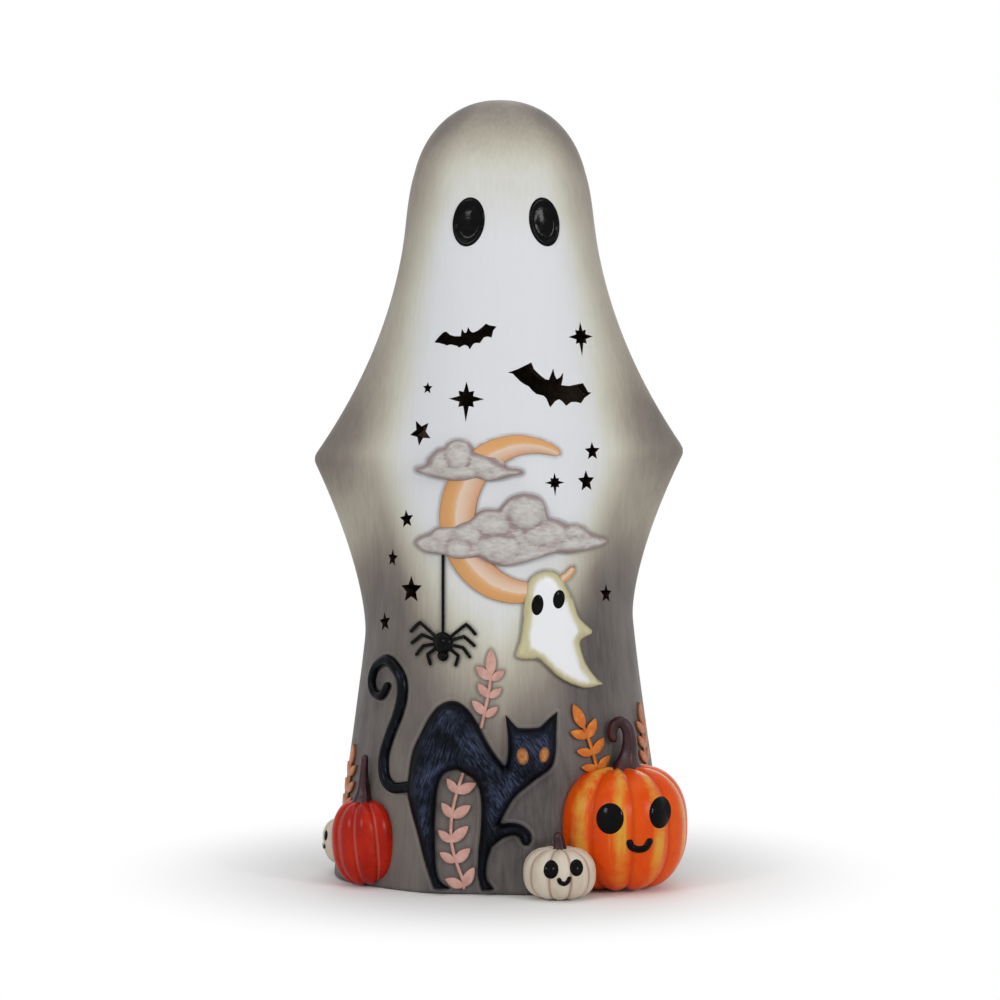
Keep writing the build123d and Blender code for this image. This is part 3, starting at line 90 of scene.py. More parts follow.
class Finish:
    """A painted finish: its material, its shader and short ways to add layers of colour."""

    def __init__(self, name, roughness=0.5, gloss=0.3, metallic=0.0):
        self.material = bpy.data.materials.new(name)
        self.material.use_nodes = True
        self.tree = self.material.node_tree
        self.shader = self.tree.nodes["Principled BSDF"]
        self.shader.inputs["Roughness"].default_value = roughness
        self.shader.inputs["Specular IOR Level"].default_value = gloss
        self.shader.inputs["Metallic"].default_value = metallic
        self.place = self.node("TexCoord").outputs["Object"]

    def node(self, kind, inputs=None, **settings):
        """A node; an input that is a socket is linked, and any other value is set."""
        made = self.tree.nodes.new("ShaderNode" + kind)
        for name, value in settings.items():
            setattr(made, name, value)
        for key, value in (inputs or {}).items():
            if isinstance(value, bpy.types.NodeSocket):
                self.tree.links.new(value, made.inputs[key])
            else:
                made.inputs[key].default_value = value
        return made

    def attribute(self, name):
        return self.node("Attribute", attribute_name=name).outputs["Fac"]

    def math(self, operation, first, second=0.5):
        return self.node("Math", {0: first, 1: second}, operation=operation).outputs[0]

    def plus(self, first, second):
        return self.math("ADD", first, second)

    def times(self, first, second):
        return self.math("MULTIPLY", first, second)

    def noise(self, scale, stretch=(1, 1, 1), detail=4.0, turn=(0, 0, 0)):
        """Uneven patches, drawn out along an axis by a small stretch there."""
        turned = self.node("Mapping", {"Vector": self.place, "Rotation": turn}).outputs[0]
        moved = self.node("Mapping", {"Vector": turned, "Scale": stretch})
        inputs = {"Vector": moved.outputs[0], "Scale": scale, "Detail": detail, "Roughness": 0.6}
        return self.node("TexNoise", inputs).outputs["Fac"]

    def band(self, value, low, high, start=0.0, end=1.0):
        """A soft step from start to end as the value goes from low to high."""
        inputs = {"Value": value, "From Min": low, "From Max": high, "To Min": start, "To Max": end}
        return self.node("MapRange", inputs, interpolation_type="SMOOTHSTEP").outputs["Result"]

    def mix(self, factor, under, over):
        """One colour laid over another."""
        colours = {6: under, 7: over}
        ready = {key: rgb(value) if isinstance(value, str) else value for key, value in colours.items()}
        return self.node("Mix", {0: factor, **ready}, data_type="RGBA").outputs[2]

    def ramp(self, value, stops):
        """A colour that changes along a value, through stops of place and colour."""
        made = self.node("ValToRGB", {"Fac": value})
        elements = made.color_ramp.elements
        while len(elements) < len(stops):
            elements.new(0.5)
        for element, (place, code) in zip(elements, stops):
            element.position = place
            element.color = rgb(code)
        return made.outputs["Color"]

    def paint(self, colour):
        self.tree.links.new(colour, self.shader.inputs["Base Color"])

    def uneven(self, height, distance, strength, roughness=None):
        """Raises the surface by a height pattern, and may let the gloss follow a pattern too."""
        inputs = {"Height": height, "Distance": distance, "Strength": strength}
        bump = self.node("Bump", inputs).outputs["Normal"]
        self.tree.links.new(bump, self.shader.inputs["Normal"])
        if roughness is not None:
            self.tree.links.new(roughness, self.shader.inputs["Roughness"])


def seen_directly(tree):
    """One where the camera, a reflection or clear glass sees a surface."""
    rays = tree.nodes.new("ShaderNodeLightPath").outputs
    seen = rays["Is Camera Ray"]
    for name in ("Is Glossy Ray", "Is Transmission Ray"):
        either = tree.nodes.new("ShaderNodeMath")
        either.operation = "MAXIMUM"
        tree.links.new(seen, either.inputs[0])
        tree.links.new(rays[name], either.inputs[1])
        seen = either.outputs[0]
    return seen


world = bpy.data.worlds.new("studio_world")
world.use_nodes = True
scene.world = world
background = world.node_tree.nodes["Background"]
background.inputs["Color"].default_value = (1, 1, 1, 1)
level = world.node_tree.nodes.new("ShaderNodeMapRange")
level.inputs["To Min"].default_value = WORLD_LIGHT
level.inputs["To Max"].default_value = STUDIO_WHITE
world.node_tree.links.new(seen_directly(world.node_tree), level.inputs["Value"])
world.node_tree.links.new(level.outputs["Result"], background.inputs["Strength"])

bpy.ops.mesh.primitive_plane_add(size=FLOOR_SIZE)
floor = bpy.context.object
floor.name = "studio_floor"
sweep = Finish("floor_white", roughness=0.9, gloss=0.1)
sweep.shader.inputs["Base Color"].default_value = rgb("f6f6f6")
from_figure = sweep.node("VectorMath", {0: sweep.place}, operation="LENGTH").outputs["Value"]
white = sweep.node("Emission", {"Color": (1, 1, 1, 1), "Strength": STUDIO_WHITE}).outputs[0]
share = sweep.times(sweep.band(from_figure, *FLOOR_FADE), seen_directly(sweep.tree))
faded = sweep.node("MixShader", {0: share, 1: sweep.shader.outputs[0], 2: white}).outputs[0]
sweep.tree.links.new(faded, sweep.tree.nodes["Material Output"].inputs["Surface"])
floor.data.materials.append(sweep.material)

SOFT_BOXES = (
    ("left_box", (-0.75, -0.95, 0.62), 0.24, 2.9),
    ("right_box", (0.85, -0.85, 0.50), 0.22, 3.4),
    ("top_box", (0.0, -0.15, 1.05), 0.8, 1.6),
    ("back_box", (0.1, 1.0, 0.7), 0.8, 2.6),
)
for name, place, size, power in SOFT_BOXES:
    bpy.ops.object.light_add(type="AREA", location=place)
    box = bpy.context.object
    box.name = name
    box.rotation_euler = (CAMERA_TARGET - Vector(place)).to_track_quat("-Z", "Y").to_euler()
    box.data.size = size
    box.data.energy = power


# Ghost body: a slip-cast shell about 4 mm thick, a drape that closes in a round head and spreads in two
# short arms and a wavy hem. Each section is an oval core with an arm on each side, as the blank was cast.
MM = 0.001
GHOST_HEIGHT = 0.240
HEAD_BASE, WAIST, ARM_HEIGHT = 0.205, 0.079, 0.131
HEAD_HALVES, WAIST_HALVES, BASE_HALVES = (0.0287, 0.026), (0.0414, 0.036), (0.053, 0.044)
DOME_FULLNESS, HEM_FLARE = 2.15, 1.15
HEM_FOLDS = ((8, 0.0008, radians(72)), (5, 0.00045, radians(2)))
HEM_FOLD_HEIGHT, HEM_FOLD_CURVE = 0.060, 1.5
ARM_HEIGHTS, ARM_REACHES, ARM_DROPS = (0.1295, 0.1320), (0.0217, 0.0213), (0.055, 0.052)
ARM_RISE, ARM_RISE_CURVE, ARM_DROP_CURVE = 0.075, 2.1, 1.45
ARM_SPREADS = (radians(13), radians(30))
CREASE_PLACE, CREASE_HEIGHT, CREASE_DEPTH = 0.0365, 0.106, 0.0011
CREASE_HALF_WIDTH, CREASE_HALF_LENGTH = 0.0028, 0.015
FRONT_FOLDS = (
    (0.0172, 0.033, 0.0032, 0.018, 0.0009), (0.0115, 0.030, 0.0032, 0.018, -0.0007),
    (-0.0012, 0.009, 0.0026, 0.006, 0.0005), (0.0018, 0.009, 0.0010, 0.005, -0.0007),
)
CORE_SOFTENING, ARM_SOFTENING, SOFTENING_STEPS = 0.011, 0.0016, 7
SHELL, SHELL_FLOOR, HEM_ROUND, HEM_ROUND_STEPS = 0.004, 0.009, 0.0012, 4


def core_radius(turn, height, rise):
    """Radius of the drape's oval core at a turn from +X and a height, moved out by rise."""
    crown = np.clip((height - HEAD_BASE) / (GHOST_HEIGHT - HEAD_BASE), 0, 1)
    closing = (1 - crown**DOME_FULLNESS) ** (1 / DOME_FULLNESS)
    chest = np.clip((height - WAIST) / (HEAD_BASE - WAIST), 0, 1)
    hem = np.clip(1 - height / WAIST, 0, 1) ** HEM_FLARE
    half_width, half_depth = [
        (waist + (head - waist) * chest + (base - waist) * hem + rise) * closing + 1e-9
        for head, waist, base in zip(HEAD_HALVES, WAIST_HALVES, BASE_HALVES)
    ]
    return half_width * half_depth / np.hypot(half_depth * np.cos(turn), half_width * np.sin(turn))


def arm_radius(turn, height):
    """How far the left or the right arm stands out of the core at a turn and a height."""
    pairs = (ARM_HEIGHTS, ARM_REACHES, ARM_DROPS)
    middle, reach, drop = [np.where(np.cos(turn) < 0, left, right) for left, right in pairs]
    above = np.clip(1 - (height - middle) / ARM_RISE, 0, 1) ** ARM_RISE_CURVE
    below = np.clip(1 - (middle - height) / drop, 0, 1) ** ARM_DROP_CURVE
    share = np.clip((height - middle + drop) / (drop + ARM_RISE), 0, 1)
    spread = ARM_SPREADS[0] + (ARM_SPREADS[1] - ARM_SPREADS[0]) * share
    from_side = np.arcsin(np.clip(np.abs(np.sin(turn)), 0, 1))
    return reach * np.minimum(above, below) * np.exp(-((from_side / spread) ** 2))


def drape(turn, height, rise=0.0):
    """Points of the drape's skin, softened over a little height so that no slope changes at once."""
    turn, height = np.broadcast_arrays(np.asarray(turn, float), np.asarray(height, float))
    softening = np.minimum(CORE_SOFTENING, (GHOST_HEIGHT - height) / 2)
    steps = np.linspace(-1, 1, SOFTENING_STEPS)
    cores = [core_radius(turn, np.clip(height + softening * s, 0, None), rise) for s in steps]
    arms = [arm_radius(turn, height + ARM_SOFTENING * s) for s in steps]
    radius = np.mean(cores, axis=0) + np.mean(arms, axis=0)
    hem = np.clip(1 - height / HEM_FOLD_HEIGHT, 0, 1) ** HEM_FOLD_CURVE
    for count, depth, start in HEM_FOLDS:
        radius = radius + depth * hem * np.cos(count * (turn + start))
    from_crease = (radius * np.abs(np.cos(turn)) - CREASE_PLACE) / CREASE_HALF_WIDTH
    from_middle = (height - CREASE_HEIGHT) / CREASE_HALF_LENGTH
    radius = radius - CREASE_DEPTH * np.exp(-(from_crease**2) - from_middle**2)
    to_front = np.clip(-np.sin(turn), 0, 1)
    for place, middle, half_width, half_length, swell in FRONT_FOLDS:
        aside = (radius * np.cos(turn) - place) / half_width
        radius = radius + swell * to_front * np.exp(-(aside**2) - ((height - middle) / half_length) ** 2)
    return np.stack((radius * np.cos(turn), radius * np.sin(turn), height), axis=-1)


def outward(turn, height):
    """The drape's outward normals."""
    step = 1e-4
    sideways = drape(turn + step, height) - drape(turn - step, height)
    upwards = drape(turn, height + step) - drape(turn, height - step)
    normal = np.cross(sideways, upwards)
    return normal / np.linalg.norm(normal, axis=-1, keepdims=True)


def set_points(piece, points):
    piece.data.vertices.foreach_set("co", np.asarray(points, np.float32).ravel())
    piece.data.update()


def rows_of(items, name, width, kind=np.float32):
    """One row of values for each of a mesh's points, edges or faces."""
    rows = np.empty(len(items) * width, kind)
    items.foreach_get(name, rows)
    return rows.reshape(-1, width)


def points_of(piece):
    return rows_of(piece.data.vertices, "co", 3).astype(float)


def select_only(*pieces):
    bpy.ops.object.select_all(action="DESELECT")
    for piece in pieces:
        piece.select_set(True)
    bpy.context.view_layer.objects.active = pieces[0]


def edit(piece, *operators):
    """Runs edit-mode operators, given with their settings, on the whole of a piece."""
    select_only(piece)
    bpy.ops.object.mode_set(mode="EDIT")
    bpy.ops.mesh.select_all(action="SELECT")
    for operator, settings in operators:
        operator(**settings)
    bpy.ops.object.mode_set(mode="OBJECT")


def join(pieces):
    """Joins pieces into the first."""
    select_only(*pieces)
    bpy.ops.object.join()
    return pieces[0]


FACES_OUT = (bpy.ops.mesh.normals_make_consistent, {"inside": False})
MERGED = (bpy.ops.mesh.remove_doubles, {"threshold": 1e-6})


def loft(name, rings):
    """A grid wrapped through closed rings of points; a ring that is one point or a line closes an end."""
    bpy.ops.object.select_all(action="DESELECT")
    bpy.ops.mesh.primitive_grid_add(x_subdivisions=len(rings[0]), y_subdivisions=len(rings) - 1, size=1)
    piece = bpy.context.object
    piece.name = name
    set_points(piece, np.concatenate([np.vstack((ring, ring[:1])) for ring in rings]))
    edit(piece, MERGED, FACES_OUT)
    return piece


def apply(piece, kind, **settings):
    """Adds a modifier and applies it."""
    select_only(piece)
    modifier = piece.modifiers.new(kind.lower(), kind)
    for name, value in settings.items():
        setattr(modifier, name, value)
    bpy.ops.object.modifier_apply(modifier=modifier.name)


def smooth(piece, angle=40):
    select_only(piece)
    bpy.ops.object.shade_smooth_by_angle(angle=radians(angle))


def store(piece, name, values):
    """Keeps a value for each point of a piece, for its finish to read."""
    layer = piece.data.attributes.new(name, "FLOAT", "POINT")
    layer.data.foreach_set("value", np.asarray(values, np.float32))


def circle(radius, height, turns):
    return np.stack((radius * np.cos(turns), radius * np.sin(turns), np.full_like(turns, height)), axis=-1)


BODY_TURNS, CHEST_STEPS, BELLY_STEPS, CROWN_STEPS, HOLLOW_STEPS = 280, 50, 176, 34, 30
FRONT_CROWDING = 0.35
GRIP_CLEARANCE, FLANGE_CLEARANCE, FLANGE_GAP, CROWN_TRIM = 0.00015, 0.0005, 0.0002, 0.00002
even_turns = np.linspace(0, 2 * pi, BODY_TURNS, endpoint=False)
turns = even_turns - FRONT_CROWDING * np.sin(even_turns) - pi / 2
crown_rise = GHOST_HEIGHT - CROWN_TRIM - HEAD_BASE
crown_heights = HEAD_BASE + crown_rise * np.sin(np.linspace(pi / 2, 0, CROWN_STEPS))
chest_heights = np.linspace(HEAD_BASE, ARM_HEIGHT, CHEST_STEPS)[1:]
belly_heights = np.linspace(ARM_HEIGHT, HEM_ROUND, BELLY_STEPS)[1:]
skin_heights = np.concatenate((crown_heights, chest_heights, belly_heights))
body_rings = [circle(0.0, crown_heights[0], turns)] + [drape(turns, height) for height in skin_heights]
for angle in np.linspace(0, pi / 2, HEM_ROUND_STEPS + 1)[1:]:
    ring = drape(turns, HEM_ROUND * (1 - sin(angle)))
    body_rings.append(ring - outward(turns, 0.0) * (1, 1, 0) * HEM_ROUND * (1 - cos(angle)))
flange_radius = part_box("light_housing")[1].x + FLANGE_CLEARANCE
flange_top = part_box("grip_ring")[0].z + FLANGE_GAP
hole_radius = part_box("grip_ring")[1].x + GRIP_CLEARANCE
body_rings += [
    circle(flange_radius, 0.0, turns),
    circle(flange_radius, flange_top, turns),
    circle(hole_radius, flange_top, turns),
    circle(hole_radius, SHELL_FLOOR, turns),
]
hollow_heights = np.linspace(SHELL_FLOOR, HEAD_BASE, HOLLOW_STEPS)
body_rings += [drape(turns, height, -SHELL) for height in hollow_heights]
hollow_stretch = (GHOST_HEIGHT - SHELL - HEAD_BASE) / (GHOST_HEIGHT - HEAD_BASE)
for height in np.concatenate((crown_heights[-2::-3], crown_heights[:1])):
    ring = drape(turns, height, -SHELL)
    ring[:, 2] = HEAD_BASE + (height - HEAD_BASE) * hollow_stretch
    body_rings.append(ring)
body_rings.append(circle(0.0, body_rings[-1][0, 2], turns))
ghost = loft("ghost_body_shell", body_rings)


# Pierced bats and stars, and eye sockets: cut square to the skin with a blade while the clay was leather
# hard. The bats and stars go right through to the dark hollow; the sockets are only pressed in.
BIG_BAT = (31.7, 153.1)
BIG_BAT_OUTLINE = (
    (-14.1, 4.3), (-11.4, 5.2), (-7.0, 7.2), (-6.2, 5.1), (-4.5, 3.4), (-2.7, 2.0), (-1.6, 1.8),
    (-0.9, 3.3), (0.0, 5.3), (0.4, 3.2), (1.1, 1.9), (2.2, 2.5), (3.4, 4.0), (3.1, 1.8), (2.6, 0.1),
    (5.4, -0.2), (8.2, 0.3), (10.5, 0.6), (11.5, -0.8), (12.3, -2.1), (13.6, -2.3), (10.9, -3.9),
    (9.5, -5.5), (7.7, -5.1), (5.9, -5.1), (4.0, -6.2), (2.5, -4.7), (1.6, -4.2), (0.3, -4.7),
    (-1.5, -6.6), (-2.7, -3.8), (-3.5, -3.0), (-5.8, -2.4), (-7.0, -1.4), (-8.1, 0.0), (-9.3, 0.6),
    (-10.4, 1.4), (-11.5, 2.6), (-12.7, 4.0),
)
SMALL_BAT = (-21.1, 167.5)
SMALL_BAT_OUTLINE = (
    (-10.2, -1.3), (-8.6, 0.5), (-7.1, 1.8), (-6.2, 2.0), (-4.9, 1.0), (-3.4, 0.6), (-1.4, 0.6),
    (-1.1, 2.9), (-0.2, 1.6), (0.4, 1.8), (0.9, 3.4), (1.6, 2.2), (2.4, 1.7), (3.8, 2.3), (5.3, 3.5),
    (6.3, 4.5), (7.4, 4.0), (9.5, 3.7), (8.6, 2.5), (8.1, 0.3), (6.9, 0.6), (5.8, 0.3), (4.7, -1.4),
    (3.5, -1.4), (2.7, -1.6), (1.6, -3.4), (0.9, -2.4), (-0.1, -2.0), (-1.9, -2.9), (-2.5, -2.4),
    (-4.6, -1.9), (-5.9, -2.3), (-6.8, -1.9), (-8.5, -1.5),
)
COMPASS_STARS = ((51.6, 167.7, 4.6), (-19.4, 149.2, 5.3), (29.8, 123.8, 3.1))
COMPASS_RAYS = (1.0, 0.66, 1.06, 0.66, 1.32, 0.66, 1.06, 0.66)
COMPASS_WAIST = 0.44
STARS = (
    (-43.4, 152.2, 1.9, 0), (-46.1, 138.7, 4.1, 30), (53.4, 132.8, 2.9, 0), (48.8, 123.8, 3.4, 0),
    (-51.9, 112.2, 2.9, 10), (-60.2, 100.0, 2.8, 0), (-46.2, 90.9, 4.3, 3), (-62.3, 80.3, 3.1, 12),
    (57.2, 89.2, 3.0, -5),
)
STAR_POINTS, STAR_WAIST = 5, 0.46
EYE_HALVES, EYE_HEIGHT, SOCKET_DEPTH = (5.1, 7.5), 202.6, 1.8
EYES = (("left_eye", -21.2, -6.5), ("right_eye", 30.4, 9.0))
CUT_ABOVE, CUT_BELOW = 0.004, 0.009


def star_outline(rays, waist, lean=0.0):
    """Corners of a star with its rays' lengths in turn, the first one upwards."""
    step = 2 * pi / len(rays)
    points = []
    for number, ray in enumerate(rays):
        angle = pi / 2 + radians(lean) - step * number
        points.append((ray * cos(angle), ray * sin(angle)))
        points.append((waist * cos(angle - step / 2), waist * sin(angle - step / 2)))
    return points


def oval_outline(halves, lean, count=48):
    """Points of an oval that leans towards +X by degrees."""
    tilt = radians(lean)
    points = []
    for angle in np.linspace(0, 2 * pi, count, endpoint=False):
        x, z = halves[0] * cos(angle), halves[1] * sin(angle)
        points.append((x * cos(tilt) + z * sin(tilt), z * cos(tilt) - x * sin(tilt)))
    return points


def ngon(name, points):
    """One flat face with corners at the points."""
    bpy.ops.object.select_all(action="DESELECT")
    bpy.ops.mesh.primitive_circle_add(vertices=len(points), fill_type="NGON")
    piece = bpy.context.object
    piece.name = name
    set_points(piece, points)
    return piece


def extrude(piece, move):
    lift = (bpy.ops.mesh.extrude_region_move, {"TRANSFORM_OT_translate": {"value": tuple(move)}})
    edit(piece, lift, FACES_OUT)


def blade(outline, azimuth, height, depth):
    """A prism over an outline in millimetres, square to the skin at an azimuth and a height."""
    turn = radians(azimuth - 90)
    centre = drape(turn, height * MM)
    normal = outward(turn, height * MM)
    sideways = np.cross((0, 0, 1), normal)
    sideways = sideways / np.linalg.norm(sideways)
    upwards = np.cross(normal, sideways)
    points = [centre + (sideways * x + upwards * z) * MM + normal * CUT_ABOVE for x, z in outline]
    piece = ngon("blade", points)
    extrude(piece, -normal * (CUT_ABOVE + depth))
    return piece


blades = [blade(BIG_BAT_OUTLINE, *BIG_BAT, CUT_BELOW), blade(SMALL_BAT_OUTLINE, *SMALL_BAT, CUT_BELOW)]
for azimuth, height, reach in COMPASS_STARS:
    rays = [reach * ray for ray in COMPASS_RAYS]
    blades.append(blade(star_outline(rays, reach * COMPASS_WAIST), azimuth, height, CUT_BELOW))
for azimuth, height, reach, lean in STARS:
    outline = star_outline([reach] * STAR_POINTS, reach * STAR_WAIST, lean)
    blades.append(blade(outline, azimuth, height, CUT_BELOW))
for name, azimuth, lean in EYES:
    outline = oval_outline(EYE_HALVES, -lean)
    blades.append(blade(outline, azimuth, EYE_HEIGHT, SOCKET_DEPTH * MM))
cuts = join(blades)
cut_clay = Finish("cut_clay", roughness=0.7)
# The cut walls are coloured a mottled dark brown-black.
wall_mottle = cut_clay.noise(700)
cut_clay.paint(cut_clay.mix(wall_mottle, "17110f", "3a261c"))
cut_clay.uneven(wall_mottle, 0.0001, strength=0.3)
cuts.data.materials.append(cut_clay.material)


# Body colour: an airbrushed shade from white on the belly and the back to grey-brown at the arms, the
# crown and the sides, and soot grey at the hem, over fine upright brush strokes, under a matt varnish.
# Part of the spray is painted light and shade: left and right are sprayed unevenly, the waist sides darker.
BODY_SHADES = (
    (0.0, "e2e4e8"), (0.12, "dcddda"), (0.25, "cfcec0"), (0.45, "b4ae9f"), (0.70, "877e75"),
    (0.90, "645e5c"), (1.0, "433e3f"),
)
glaze = Finish("airbrushed_glaze", roughness=0.55, gloss=0.28)
strokes = glaze.noise(1100, stretch=(1, 1, 0.04), detail=3)
clouding = glaze.noise(60, stretch=(1, 1, 0.4), detail=6)
shade = glaze.plus(glaze.attribute("shade"), glaze.band(strokes, 0.3, 0.7, -0.022, 0.022))
smoke = glaze.band(clouding, 0.25, 0.75, -0.08, 0.08)
shade = glaze.plus(shade, glaze.times(smoke, glaze.attribute("shade")))
body_colour = glaze.ramp(shade, BODY_SHADES)
ghost.data.materials.append(glaze.material)
apply(ghost, "BOOLEAN", operation="DIFFERENCE", object=cuts, solver="EXACT", material_mode="TRANSFER")
bpy.data.objects.remove(cuts, do_unlink=True)
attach(ghost, "ceramic_figure")
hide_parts("ghost_body")


# Eyes: ovals pressed on their own, enamelled black and set in their sockets with slip. Each is a raised
# rim about a shallow dish that swells a little in the middle.
EYE_PROFILE = (
    (0.0, -1.5), (0.97, -1.5), (0.97, 0.05), (0.95, 0.28), (0.90, 0.38), (0.84, 0.36), (0.80, 0.18),
    (0.77, -0.18), (0.72, -0.42), (0.60, -0.52), (0.40, -0.46), (0.20, -0.38), (0.0, -0.36),
)
EYE_SIDES = 64
SKIN_SEARCHES, SIDE_LIMIT = 14, 0.999


def body_point(sideways, height, rise, azimuth):
    """The point over the skin by rise that a look square to an azimuth meets at a place."""
    front = radians(azimuth - 90)
    aside = np.zeros_like(np.asarray(sideways, float))
    for _ in range(SKIN_SEARCHES):
        point = drape(front + aside, height, rise)
        reach = np.hypot(point[..., 0], point[..., 1])
        aside = np.arcsin(np.clip(sideways / reach, -SIDE_LIMIT, SIDE_LIMIT))
    return drape(front + aside, height, rise)


def lay_on_body(piece, azimuth=0.0):
    """Takes a piece modelled flat, x sideways, z up and -y outwards, onto the skin."""
    points = points_of(piece)
    set_points(piece, body_point(points[:, 0], points[:, 2], -points[:, 1], azimuth))
    edit(piece, FACES_OUT)


def above_skin(rise, scale):
    """A profile's rise, scaled above the skin and left as it is below."""
    return rise * scale if rise > 0 else rise


def oval_relief(name, profile, place, halves, rise, lean, sides):
    """A low oval, still flat, whose profile goes from its middle below to its middle on top."""
    rings = []
    for share_out, lift in profile:
        oval = oval_outline([half * share_out for half in halves], lean, sides)
        depth = -above_skin(lift, rise) * MM
        rings.append(np.array([((place[0] + x) * MM, depth, (place[1] + z) * MM) for x, z in oval]))
    return loft(name, rings)


def fix(piece, finish, slot, *nodes, angle=40):
    """Finishes a piece and sets it on the ceramic figure in place of its nodes."""
    piece.data.materials.clear()
    piece.data.materials.append(finish.material)
    smooth(piece, angle)
    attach(piece, "ceramic_figure")
    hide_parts(*nodes)


enamel = Finish("black_enamel", roughness=0.12, gloss=0.07)
enamel_flow = enamel.noise(420, detail=3)
enamel.paint(enamel.mix(enamel.band(enamel_flow, 0.35, 0.75), "040405", "0d0d10"))
enamel.uneven(enamel_flow, 0.0003, strength=0.2, roughness=enamel.band(enamel_flow, 0.2, 0.8, 0.07, 0.16))
for name, azimuth, lean in EYES:
    eye = oval_relief(name + "_inlay", EYE_PROFILE, (0, EYE_HEIGHT), EYE_HALVES, 1.0, -lean, EYE_SIDES)
    lay_on_body(eye, azimuth)
    fix(eye, enamel, "black_gloss", name)


# Moon: a pressed crescent with a ridge along it, sprigged onto the belly; its outer facet is painted
# orange and its inner one pale peach, with painted shade in its corners where it meets the body.
MOON_CENTRE, MOON_RADIUS = (5.0, 113.0), 24.5
MOON_HOLLOW_SHIFT, MOON_HOLLOW_RADIUS = (5.8, 0.4), 18.8
MOON_TIPS = (radians(53.0), radians(322.5))
MOON_TIP_WIDTH, MOON_TIP_ROUND, MOON_STRETCH = 2.4, radians(6), (0.955, 1.033)
MOON_PROFILE = (
    (0.0, -0.5), (0.0, 0.3), (0.03, 0.72), (0.10, 1.0), (0.30, 1.38), (0.44, 1.60), (0.60, 1.42),
    (0.86, 1.0), (0.96, 0.72), (1.0, 0.3), (1.0, -0.5),
)
MOON_RINGS, MOON_LEAST_WIDTH = 141, 0.1


def moon_span(angle):
    """Outer and inner radius of the crescent at an angle about its centre, with blunt tips."""
    along = MOON_HOLLOW_SHIFT[0] * np.cos(angle) + MOON_HOLLOW_SHIFT[1] * np.sin(angle)
    inner = along + np.sqrt(along**2 - np.hypot(*MOON_HOLLOW_SHIFT) ** 2 + MOON_HOLLOW_RADIUS**2)
    inner = np.minimum(inner, MOON_RADIUS - MOON_TIP_WIDTH)
    from_tip = np.minimum(angle - MOON_TIPS[0], MOON_TIPS[1] - angle) / MOON_TIP_ROUND
    rounding = np.sqrt(np.clip(1 - np.clip(1 - from_tip, 0, 1) ** 2, 0, 1))
    middle, half = (MOON_RADIUS + inner) / 2, (MOON_RADIUS - inner) / 2 * rounding
    return middle + half, middle - half


moon_rings = []
for angle in np.linspace(*MOON_TIPS, MOON_RINGS):
    outer, inner = moon_span(angle)
    fullness = min(1.0, (outer - inner) / (2 * MOON_TIP_WIDTH)) ** 0.5
    ring = []
    for share_in, rise in MOON_PROFILE:
        radius = outer + (inner - outer) * share_in
        x = MOON_CENTRE[0] + MOON_STRETCH[0] * radius * cos(angle)
        z = MOON_CENTRE[1] + MOON_STRETCH[1] * radius * sin(angle)
        ring.append((x * MM, -above_skin(rise, fullness) * MM, z * MM))
    moon_rings.append(np.array(ring))
moon = loft("moon_crescent", moon_rings)
flat = points_of(moon)
moon_x = (flat[:, 0] / MM - MOON_CENTRE[0]) / MOON_STRETCH[0]
moon_z = (flat[:, 2] / MM - MOON_CENTRE[1]) / MOON_STRETCH[1]
outer, inner = moon_span(np.clip(np.arctan2(moon_z, moon_x) % (2 * pi), *MOON_TIPS))
store(moon, "facet", (outer - np.hypot(moon_x, moon_z)) / np.maximum(outer - inner, MOON_LEAST_WIDTH))
store(moon, "lift", -flat[:, 1])
lay_on_body(moon)
moon_paint = Finish("moon_paint", roughness=0.36)
moon_strokes = moon_paint.noise(650)
wavering = moon_paint.band(moon_strokes, 0.3, 0.7, -0.022, 0.022)
brushed_facet = moon_paint.plus(moon_paint.attribute("facet"), wavering)
moon_stops = (
    (0.0, "d99f66"), (0.3, "dea66a"), (0.42, "e0b48c"), (0.47, "e6cdb8"), (0.72, "dfbca2"), (0.92, "d8a57e"),
)
moon_colour = moon_paint.ramp(brushed_facet, moon_stops)
# Painted shade darkens the moon at its foot, where it meets the body.
painted_shade_at_moon_foot = moon_paint.band(moon_paint.attribute("lift"), 0.0001, 0.0008, 0.8, 0.0)
moon_paint.paint(moon_paint.mix(painted_shade_at_moon_foot, moon_colour, "8d6a52"))
moon_paint.uneven(moon_strokes, 0.0003, strength=0.2)
fix(moon, moon_paint, "moon_paint", "moon", angle=24)


# Clouds: two sprigs of piled puffs with drawn-out ends, pressed in a mould and laid across the moon.
# Mauve wash and painted shade darken their folds and rims, and dry brush and painted highlight leave the
# swells nearly white.
UPPER_CLOUD_EDGE = (
    ((-26.0, 127.3), (-21.9, 129.7), (-20.9, 131.9), (-19.3, 133.7), (-16.7, 134.4)),
    ((-16.7, 134.4), (-15.6, 136.1), (-12.8, 136.8), (-10.1, 136.3), (-8.4, 134.7), (-8.0, 133.3)),
    ((-8.0, 133.3), (-4.0, 132.2), (0.4, 129.4), (7.5, 127.2)),
    ((7.5, 127.2), (4.2, 126.2), (-2.9, 124.5), (-6.8, 125.4)),
    ((-6.8, 125.4), (-11.7, 124.4), (-20.5, 125.4), (-26.0, 127.3)),
)
UPPER_CLOUD_PUFFS = (
    (-12.9, 131.7, 4.6, 4.6, 4.4), (-18.0, 129.6, 4.4, 3.3, 3.6), (-5.0, 129.2, 6.8, 3.1, 3.6),
    (-12.0, 127.6, 7.6, 2.5, 3.6), (-22.8, 127.4, 3.4, 1.1, 2.6), (3.0, 127.2, 4.4, 1.1, 2.6),
)
